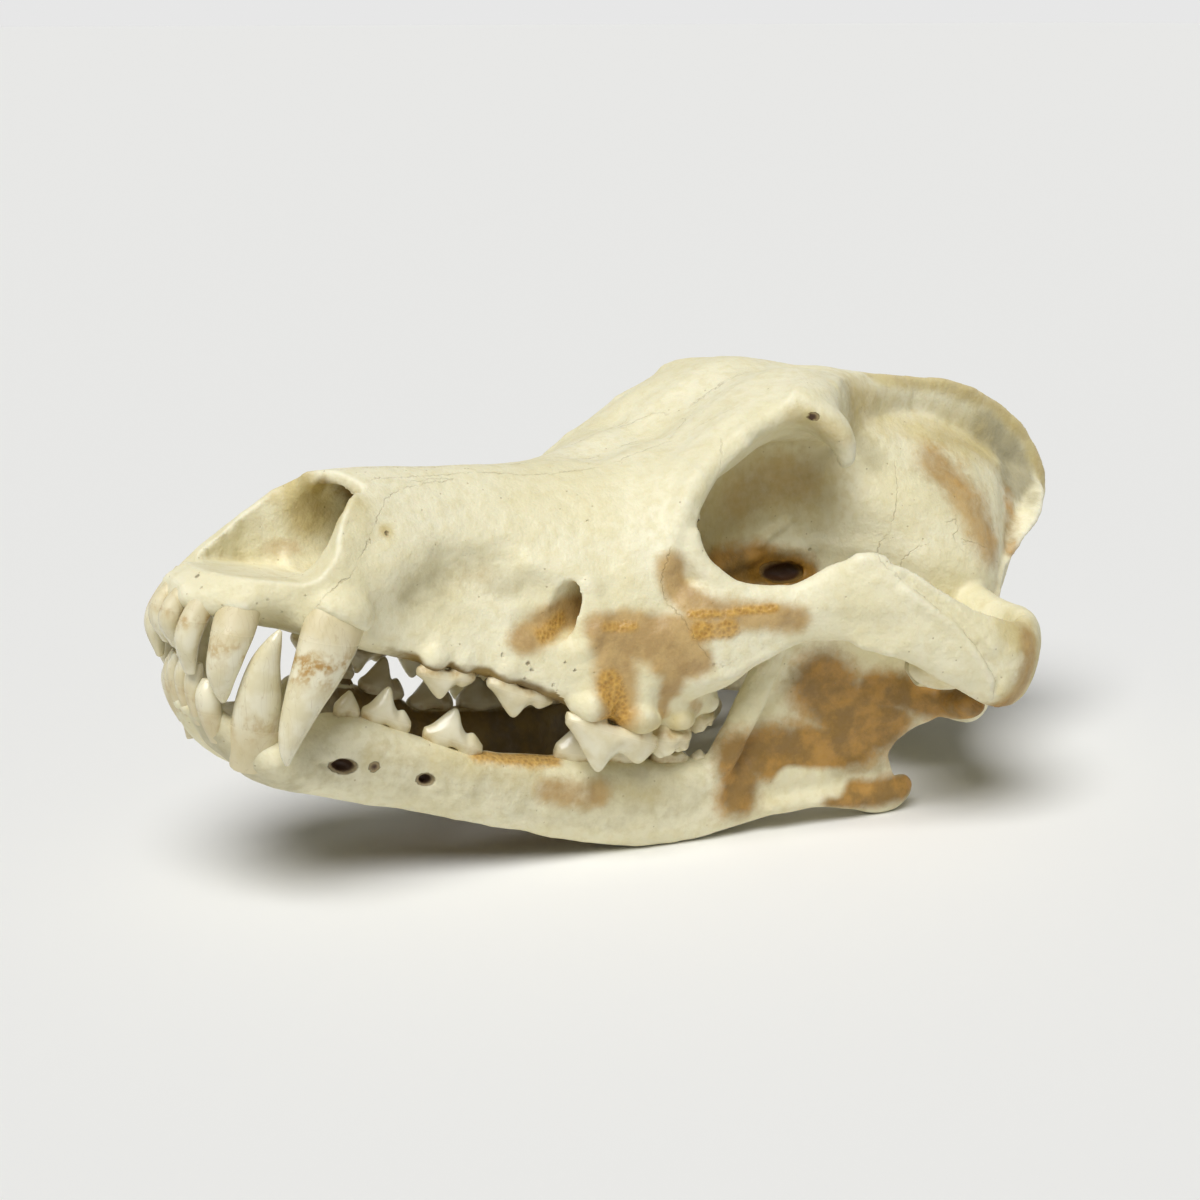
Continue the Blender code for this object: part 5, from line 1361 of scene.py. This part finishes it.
measured = {}
for name, whole in (("cranium", cranium), ("left", jaws["left"]), ("right", jaws["right"])):
    measured[name] = (tree_of(whole), *hollowness(whole))
    deepest = [values.max().round(2) for values in measured[name][1:3]]
    print(name, "is hollow to", deepest, "mm")

# %% [markdown]
# ## Parting the cranium as the CAD model is parted
# The CAD model has the muzzle, the braincase and the cheek arches as nodes of their own. Here the same
# places are cut with no gap, so that each piece stands for its node and no seam shows between them.

# %% Part the cranium
FACE_CUT = ((120, 52), (147, -12))
ARCH_OUTLINE = ((60, 26), (182, 26), (198, 39.5), (250, 39.5), (250, 100), (60, 100))
ARCH_LOW, ARCH_TOP = -60, 44


def copy_of(obj, name):
    twin = obj.copy()
    twin.data = obj.data.copy()
    twin.name = name
    bpy.context.scene.collection.objects.link(twin)
    return twin


def keep_largest(obj):
    """Leaves only the largest closed surface of an object."""
    name = obj.name
    choose(obj)
    bpy.ops.object.mode_set(mode="EDIT")
    bpy.ops.mesh.select_all(action="SELECT")
    bpy.ops.mesh.separate(type="LOOSE")
    bpy.ops.object.mode_set(mode="OBJECT")
    kept, *scraps = sorted(bpy.context.selected_objects, key=lambda one: -len(one.data.vertices))
    for scrap in scraps:
        bpy.data.objects.remove(scrap)
    kept.name = name
    return kept


def face_cutter():
    """Everything behind the leaning cut behind the face."""
    (top_x, top_z), (foot_x, foot_z) = FACE_CUT
    lean = (top_x - foot_x) / (top_z - foot_z)
    outline = [(top_x + lean * (z - top_z), z) for z in (-100, 150)] + [(400, 150), (400, -100)]
    return board("behind the face", outline, -200, 400, 1)


def arch_cutter(side):
    outline = [(x, side * y) for x, y in ARCH_OUTLINE]
    return board("beside the head", outline, ARCH_LOW, ARCH_TOP - ARCH_LOW, 2)


rear = copy_of(cranium, "braincase_bone")
combine(cranium, [face_cutter()], "DIFFERENCE")
combine(rear, [face_cutter()], "INTERSECT")
cranium.name = "muzzle_bone"
bones = {"muzzle": keep_largest(cranium)}
for side_name, side in SIDES.items():
    arch = copy_of(rear, f"arch_bone_{side_name}")
    combine(arch, [arch_cutter(side)], "INTERSECT")
    bones[f"zygomatic_arch_{side_name}"] = keep_largest(arch)
combine(rear, [arch_cutter(LEFT)], "DIFFERENCE")
combine(rear, [arch_cutter(RIGHT)], "DIFFERENCE")
bones["braincase"] = keep_largest(rear)
for side_name in SIDES:
    bones[f"mandible_{side_name}"] = keep_largest(jaws[side_name])
for cad_node, bone in bones.items():
    print(cad_node, len(bone.data.polygons), "faces")

# %% [markdown]
# Each parted bone takes the hollows that were measured on the whole, at the point nearest to its own,
# and then its own stains, painted shade, sutures and holes.

# %% Write the colours on the parted bones
for cad_node, bone in bones.items():
    source = cad_node.split("_")[1] if cad_node.startswith("mandible") else "cranium"
    write_colours(bone, *measured[source])
numbers = [one.name for one in bones["muzzle"].data.attributes if one.data_type == "FLOAT"]
print("numbers on each bone:", numbers)

# %% [markdown]
# ## Materials
# Colours are written as they look on a screen, so one function turns them to the linear light that
# Blender counts in. Another adds a node with its settings and its links.

# %% Colour and node helpers
def linear(code):
    """A hex colour such as E8DFC0 as linear red, green, blue and alpha."""
    parts = [int(code[k : k + 2], 16) / 255 for k in (0, 2, 4)]
    return (*[v / 12.92 if v <= 0.04045 else ((v + 0.055) / 1.055) ** 2.4 for v in parts], 1.0)


def node(tree, kind, settings=None, **inputs):
    """Adds a node. Its inputs are numbers, colours, sockets or nodes, by name or, as _6, by place."""
    made = tree.nodes.new(kind)
    for name, value in (settings or {}).items():
        setattr(made, name, value)
    for name, value in inputs.items():
        key = int(name[1:]) if name[1:].isdigit() else name.replace("_", " ")
        socket = made.inputs[key]
        if isinstance(value, bpy.types.Node):
            value = next(out for out in value.outputs if out.enabled)
        if isinstance(value, bpy.types.NodeSocket):
            tree.links.new(value, socket)
        else:
            socket.default_value = value
    return made


def new_material(name):
    material = bpy.data.materials.new(name)
    material.use_nodes = True
    tree = material.node_tree
    return material, tree, tree.nodes["Principled BSDF"]


BLEND = ("ShaderNodeMix", {"data_type": "RGBA"})
NOISE = ("ShaderNodeTexNoise", {})
CELLS = ("ShaderNodeTexVoronoi", {})
RAMP = ("ShaderNodeMapRange", {"interpolation_type": "SMOOTHSTEP"})
PLUS = ("ShaderNodeMath", {"operation": "ADD"})
TIMES = ("ShaderNodeMath", {"operation": "MULTIPLY"})
TIMES_PLUS = ("ShaderNodeMath", {"operation": "MULTIPLY_ADD"})
SIZE_OF_MM = 1 / MM  # a pattern's scale over its size in millimetres
print("cream bone in linear light:", [round(v, 3) for v in linear("F1EBCB")])

# %% [markdown]
# Bone that has been cleaned and bleached is cream and matt. Its cream isn't even: it is cooler and
# darker where it is thin or porous. Noise of about 25 mm and of 3 mm varies the cream, painted shade
# makes the measured hollows darker and more yellow, and a painted highlight makes the ridges pale.

# %% Dry bone: cream, painted shade in the hollows and a painted highlight on the ridges
dry_bone, tree, bone_shader = new_material("dry bleached bone")
where = node(tree, "ShaderNodeTexCoord").outputs["Object"]
read = {
    name: node(tree, "ShaderNodeAttribute", {"attribute_name": name}).outputs["Fac"]
    for name in ("fine_hollow", "broad_hollow", "seam_far", "seam_side", "pore", *COLOURS)
}
clouds = node(tree, *NOISE, Vector=where, Scale=SIZE_OF_MM / 25, Detail=3.0)
mottle = node(tree, *NOISE, Vector=where, Scale=SIZE_OF_MM / 3, Detail=4.0, Roughness=0.6)
fleck = node(tree, *NOISE, Vector=where, Scale=SIZE_OF_MM / 0.7, Detail=3.0)
cloudy = node(tree, *RAMP, Value=clouds, From_Min=0.35, From_Max=0.65)
mottled = node(tree, *RAMP, Value=mottle, From_Min=0.42, From_Max=0.7, To_Max=0.45)
colour = node(tree, *BLEND, _0=cloudy, _6=linear("F1EBCB"), _7=linear("E9E1BA"))
colour = node(tree, *BLEND, _0=mottled, _6=colour, _7=linear("E0D5A6"))
# painted shade: the broad hollows are tinted a darker greenish tan
deep = node(tree, *RAMP, Value=read["broad_hollow"], From_Min=0.2, From_Max=3.8, To_Max=0.7)
colour = node(tree, *BLEND, _0=deep, _6=colour, _7=linear("CDBE86"))
# painted shade: creases and small hollows are darkened, broken up by the 3 mm mottling
crease_shade = node(tree, *TIMES_PLUS, _0=mottle, _1=0.5, _2=read["fine_hollow"])
crease_shade = node(tree, *RAMP, Value=crease_shade, From_Min=0.35, From_Max=1.1, To_Max=0.6)
colour = node(tree, *BLEND, _0=crease_shade, _6=colour, _7=linear("B29C5E"))
# painted highlight: the proud ridges are lightened
ridge_highlight = node(tree, *RAMP, Value=read["fine_hollow"], From_Min=-0.06, From_Max=-0.5, To_Max=0.6)
colour = node(tree, *BLEND, _0=ridge_highlight, _6=colour, _7=linear("F8F4DC"))
print("cream: 25 mm clouds and 3 mm mottling")

# %% [markdown]
# The stains are grease and tannin in the bone; the same colours also carry the painted shade of the
# hollows, the orbits, the nose and the mouth, and umber is painted shade only. Their edges are broken up
# with noise, so that none shows the plain round end of a stroke. Amber is the strongest and looks like
# crystals of resin.

# %% Dry bone: stains and painted shade
STAIN_AND_SHADE_LOOKS = (
    # umber: painted shade deep in the nose, the mouth, the orbits and round the jaw's condyle
    ("umber", "6A4F12", "8A6C1E", 0.92),
    ("grey", "99906E", "AEA480", 0.8),
    ("ochre", "BFA762", "D2C080", 0.75),
    ("brown", "A98448", "C19E60", 0.88),
    ("orange", "86600E", "B3822A", 0.92),
    ("amber", "A0701F", "DDB055", 0.85),
)
grains = node(tree, *CELLS, Vector=where, Scale=SIZE_OF_MM / 1.1)
shade = node(tree, *NOISE, Vector=where, Scale=SIZE_OF_MM / 9, Detail=5.0, Roughness=0.65)
streaks = node(tree, *RAMP, Value=shade, From_Min=0.38, From_Max=0.62)
for name, dark, light, strength in STAIN_AND_SHADE_LOOKS:
    ragged = node(tree, *TIMES_PLUS, _0=shade, _1=0.6, _2=read[name])
    ragged = node(tree, *TIMES_PLUS, _0=mottle, _1=0.25, _2=ragged)
    amount = node(tree, *RAMP, Value=ragged, From_Min=0.62, From_Max=1.3, To_Max=strength)
    vary = grains if name == "amber" else streaks
    tint = node(tree, *BLEND, _0=vary, _6=linear(dark), _7=linear(light))
    colour = node(tree, *BLEND, _0=amount, _6=colour, _7=tint)
    if name == "amber":
        resin = amount
print("stains:", [row[0] for row in STAIN_AND_SHADE_LOOKS])

# %% [markdown]
# A suture is a line about a third of a millimetre wide that wanders and fades. Vessel holes are darkened
# inside with painted shade. Between them the bone has pores of a tenth of a millimetre, drawn here three
# times as wide.

# %% Dry bone: sutures, pores and painted shade in the vessel holes
wander = node(tree, *NOISE, Vector=where, Scale=SIZE_OF_MM / 1.8, Detail=2.0)
wander = node(tree, *TIMES_PLUS, _0=wander, _1=2.4, _2=-1.2)
across = node(tree, *PLUS, _0=read["seam_side"], _1=wander)
across = node(tree, "ShaderNodeMath", {"operation": "ABSOLUTE"}, _0=across)
line = node(tree, *RAMP, Value=across, From_Min=0.26, From_Max=0.04)
inside = node(tree, *RAMP, Value=read["seam_far"], From_Min=2.2, From_Max=1.4)
line = node(tree, *TIMES, _0=line, _1=inside)
fading = node(tree, *RAMP, Value=shade, From_Min=0.4, From_Max=0.62, To_Min=0.1)
line = node(tree, *TIMES, _0=line, _1=fading)
colour = node(tree, *BLEND, _0=node(tree, *TIMES, _0=line, _1=0.32), _6=colour, _7=linear("8F7A48"))
# painted shade inside the vessel holes: darker just within the edge and nearly black deeper in
hole = node(tree, *RAMP, Value=read["pore"], From_Min=0.15, From_Max=-0.45)
colour = node(tree, *BLEND, _0=node(tree, *TIMES, _0=hole, _1=0.75), _6=colour, _7=linear("7A6236"))
pit = node(tree, *RAMP, Value=read["pore"], From_Min=-0.6, From_Max=-1.7, To_Max=0.9)
colour = node(tree, *BLEND, _0=pit, _6=colour, _7=linear("3A1B08"))
dots = node(tree, *CELLS, Vector=where, Scale=SIZE_OF_MM / 2.6)
dot = node(tree, *RAMP, Value=dots, From_Min=0.13, From_Max=0.05)
chosen = node(tree, *RAMP, Value=dots.outputs["Color"], From_Min=0.62, From_Max=0.66)
dot = node(tree, *TIMES, _0=dot, _1=chosen)
colour = node(tree, *BLEND, _0=node(tree, *TIMES, _0=dot, _1=0.5), _6=colour, _7=linear("A08A5C"))
tree.links.new(colour.outputs[2], bone_shader.inputs["Base Color"])
print("sutures 0.3 mm wide, pores 2.6 mm apart")

# %% [markdown]
# The relief follows the same patterns: a slow swell, the grain, the grooves of the sutures and the
# pores, all in millimetres. Bone is matt where it is rough and satin where it is rubbed or resinous.

# %% Dry bone: relief and gloss
swell = node(tree, *NOISE, Vector=where, Scale=SIZE_OF_MM / 6, Detail=3.0)
height = node(tree, *TIMES, _0=swell, _1=0.5)
height = node(tree, *TIMES_PLUS, _0=mottle, _1=0.3, _2=height)
height = node(tree, *TIMES_PLUS, _0=fleck, _1=0.12, _2=height)
height = node(tree, *TIMES_PLUS, _0=line, _1=-0.16, _2=height)
height = node(tree, *TIMES_PLUS, _0=hole, _1=-0.8, _2=height)
height = node(tree, *TIMES_PLUS, _0=dot, _1=-0.12, _2=height)
rough_resin = node(tree, *TIMES, _0=grains, _1=resin)
height = node(tree, *TIMES_PLUS, _0=rough_resin, _1=0.35, _2=height)
relief = node(tree, "ShaderNodeBump", Height=height, Distance=MM, Strength=0.85)
tree.links.new(relief.outputs["Normal"], bone_shader.inputs["Normal"])
satin = node(tree, *RAMP, Value=mottle, From_Min=0.35, From_Max=0.65, To_Min=0.48, To_Max=0.62)
satin = node(tree, *TIMES_PLUS, _0=resin, _1=-0.22, _2=satin)
tree.links.new(satin.outputs[0], bone_shader.inputs["Roughness"])
bone_shader.inputs["IOR"].default_value = 1.54
bone_shader.inputs["Specular IOR Level"].default_value = 0.4
bone_shader.inputs["Subsurface Weight"].default_value = 0.12
bone_shader.inputs["Subsurface Radius"].default_value = (1.0, 0.7, 0.4)
bone_shader.inputs["Subsurface Scale"].default_value = 0.0015
print("bone nodes:", len(tree.nodes))

# %% [markdown]
# Enamel is harder, whiter and glossier than bone. It is yellower towards the neck, where it thins
# over the dentine, and old enamel has fine cracks that run from the neck to the tip.

# %% Tooth enamel
tooth_enamel, tree, enamel_shader = new_material("polished tooth enamel")
where = node(tree, "ShaderNodeTexCoord").outputs["Object"]
above_neck = node(tree, "ShaderNodeAttribute", {"attribute_name": "above_neck"}).outputs["Fac"]
front = node(tree, "ShaderNodeAttribute", {"attribute_name": "front_tooth"}).outputs["Fac"]
clouds = node(tree, *NOISE, Vector=where, Scale=SIZE_OF_MM / 5, Detail=3.0)
stained = node(tree, "ShaderNodeAttribute", {"attribute_name": "tooth_stain"}).outputs["Fac"]
fine = node(tree, *NOISE, Vector=where, Scale=SIZE_OF_MM / 1.2, Detail=3.0)
cloudy = node(tree, *RAMP, Value=clouds, From_Min=0.35, From_Max=0.65)
base = node(tree, *BLEND, _0=cloudy, _6=linear("ECE6CA"), _7=linear("E0D7B2"))
ragged = node(tree, *TIMES_PLUS, _0=clouds, _1=-5.0, _2=above_neck)
warm = node(tree, *RAMP, Value=ragged, From_Min=5.0, From_Max=-5.0, To_Max=0.6)
colour = node(tree, *BLEND, _0=warm, _6=base, _7=linear("D3C291"))
patches = node(tree, *RAMP, Value=clouds, From_Min=0.42, From_Max=0.6)
specks = node(tree, *RAMP, Value=fine, From_Min=0.35, From_Max=0.6, To_Min=0.25)
tan = node(tree, *TIMES, _0=node(tree, *TIMES, _0=stained, _1=patches), _1=specks)
colour = node(tree, *BLEND, _0=tan, _6=colour, _7=linear("B48C48"))
upright = node(tree, "ShaderNodeMapping", Vector=where, Scale=(1.0, 1.0, 0.07))
cracks = node(tree, *NOISE, Vector=upright, Scale=SIZE_OF_MM / 1.6, Detail=1.0)
crack = node(tree, "ShaderNodeMath", {"operation": "SUBTRACT"}, _0=cracks, _1=0.5)
crack = node(tree, "ShaderNodeMath", {"operation": "ABSOLUTE"}, _0=crack)
crack = node(tree, *RAMP, Value=crack, From_Min=0.012, From_Max=0.0)
crack = node(tree, *TIMES, _0=crack, _1=front)
colour = node(tree, *BLEND, _0=node(tree, *TIMES, _0=crack, _1=0.22), _6=colour, _7=linear("A8874F"))
tree.links.new(colour.outputs[2], enamel_shader.inputs["Base Color"])
height = node(tree, *TIMES, _0=clouds, _1=0.35)
height = node(tree, *TIMES_PLUS, _0=fine, _1=0.05, _2=height)
height = node(tree, *TIMES_PLUS, _0=crack, _1=-0.06, _2=height)
relief = node(tree, "ShaderNodeBump", Height=height, Distance=MM, Strength=0.6)
tree.links.new(relief.outputs["Normal"], enamel_shader.inputs["Normal"])
dull = node(tree, *RAMP, Value=above_neck, From_Min=2.0, From_Max=-1.0, To_Min=0.26, To_Max=0.5)
tree.links.new(dull.outputs[0], enamel_shader.inputs["Roughness"])
enamel_shader.inputs["IOR"].default_value = 1.62
enamel_shader.inputs["Subsurface Weight"].default_value = 0.15
enamel_shader.inputs["Subsurface Radius"].default_value = (1.0, 0.8, 0.6)
enamel_shader.inputs["Subsurface Scale"].default_value = 0.001
print("enamel nodes:", len(tree.nodes))

# %% [markdown]
# The floor is matt paper, as in a light tent.

# %% Studio paper
studio_paper, tree, shader = new_material("matt studio paper")
shader.inputs["Base Color"].default_value = linear("F4F4F2")
shader.inputs["Roughness"].default_value = 0.9
shader.inputs["Specular IOR Level"].default_value = 0.1
print("paper nodes:", len(tree.nodes))

# %% [markdown]
# ## Setting the pieces in their place
# Each piece is turned and scaled into the CAD model's frame with its place kept in its mesh, stands for
# its node and rides on the body "root", because a skull in a case has nothing that moves.

# %% Place and tie the pieces
SHARP_EDGE = math.radians(50)


def put_in_place(piece, cad_node):
    piece.data.transform(SKULL_TO_WORLD)
    places, _ = points_of(piece)
    places[:, 2] = np.maximum(places[:, 2], 0)  # flat where it rests on the ground
    place_points(piece, places)
    choose(piece)
    bpy.ops.object.shade_smooth_by_angle(angle=SHARP_EDGE)
    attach(piece, "root")
    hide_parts(cad_node)


for cad_node, bone in bones.items():
    bone.data.materials.clear()
    bone.data.materials.append(dry_bone)
    put_in_place(bone, cad_node)
for (jaw, side_name), group in teeth.items():
    group.data.materials.clear()
    group.data.materials.append(tooth_enamel)
    put_in_place(group, "muzzle" if jaw == "upper" else f"mandible_{side_name}")
print("pieces:", sorted(piece.name for piece in list(bones.values()) + list(teeth.values())))

# %% [markdown]
# ## Floor, light and camera
# A large pale floor and one broad, far light from the upper left, in a photographer's light tent. The
# camera stands 0.6 m away, at the height and angle that match the photograph.

# %% Floor
FLOOR_SIZE = 60.0
bpy.ops.mesh.primitive_plane_add(size=FLOOR_SIZE, location=(0, 0, 0))
floor = bpy.context.object
floor.name = "floor"
floor.data.materials.append(studio_paper)
print("floor:", FLOOR_SIZE, "m")

# %% [markdown]
# The far light is a sun as wide as a large soft box, so that its shadows have soft edges. The tent is
# the world: it sheds little light of its own, but the camera and the gloss see it as pale as the floor.

# %% Light
SUN_FROM, SUN_POWER, SUN_WIDTH = Vector((-0.38, -0.32, 0.87)), 2.95, math.radians(40)
bpy.ops.object.light_add(type="SUN", location=SUN_FROM)
key = bpy.context.object
key.name = "key light"
key.data.energy = SUN_POWER
key.data.angle = SUN_WIDTH
key.rotation_euler = SUN_FROM.to_track_quat("Z", "Y").to_euler()

world = bpy.data.worlds.new("light tent")
bpy.context.scene.world = world
world.use_nodes = True
tree = world.node_tree
TENT_LIGHT, TENT_SEEN = 0.07, 0.8
rays = node(tree, "ShaderNodeLightPath")
seen = node(tree, *PLUS, _0=rays.outputs["Is Camera Ray"], _1=rays.outputs["Is Glossy Ray"])
strength = node(tree, *RAMP, Value=seen, To_Min=TENT_LIGHT, To_Max=TENT_SEEN)
tree.links.new(strength.outputs[0], tree.nodes["Background"].inputs["Strength"])
tree.nodes["Background"].inputs["Color"].default_value = (1, 1, 1, 1)
bpy.context.scene.view_settings.view_transform = "Standard"
print("light from", [round(v, 2) for v in SUN_FROM.normalized()], "and", TENT_LIGHT, "from all around")

# %% [markdown]
# The camera looks from the front of the left side and from a little above, through a lens that gives
# the photograph's frame.

# %% Camera
CAMERA_YAW, CAMERA_PITCH, CAMERA_FAR = math.radians(32.9), math.radians(14.8), 0.6
LOOKED_AT = Vector((118.7, 0, -16.2))  # in millimetres from the front incisors
LOOK_AT = (LOOKED_AT + Vector(ON_GROUND)) * MM
SENSOR, FOCAL_PIXELS, PHOTO_WIDTH = 36.0, 2232.0, 1200.0

towards_camera = Vector((
    -math.sin(CAMERA_YAW) * math.cos(CAMERA_PITCH),
    -math.cos(CAMERA_YAW) * math.cos(CAMERA_PITCH),
    math.sin(CAMERA_PITCH),
))
bpy.ops.object.camera_add(location=LOOK_AT + towards_camera * CAMERA_FAR)
camera = bpy.context.object
camera.name = "camera"
camera.rotation_euler = (-towards_camera).to_track_quat("-Z", "Y").to_euler()
camera.data.sensor_width = SENSOR
camera.data.lens = SENSOR * FOCAL_PIXELS / PHOTO_WIDTH
camera.data.clip_start = 0.01
bpy.context.scene.camera = camera
print("camera: lens", round(camera.data.lens, 1), "mm")
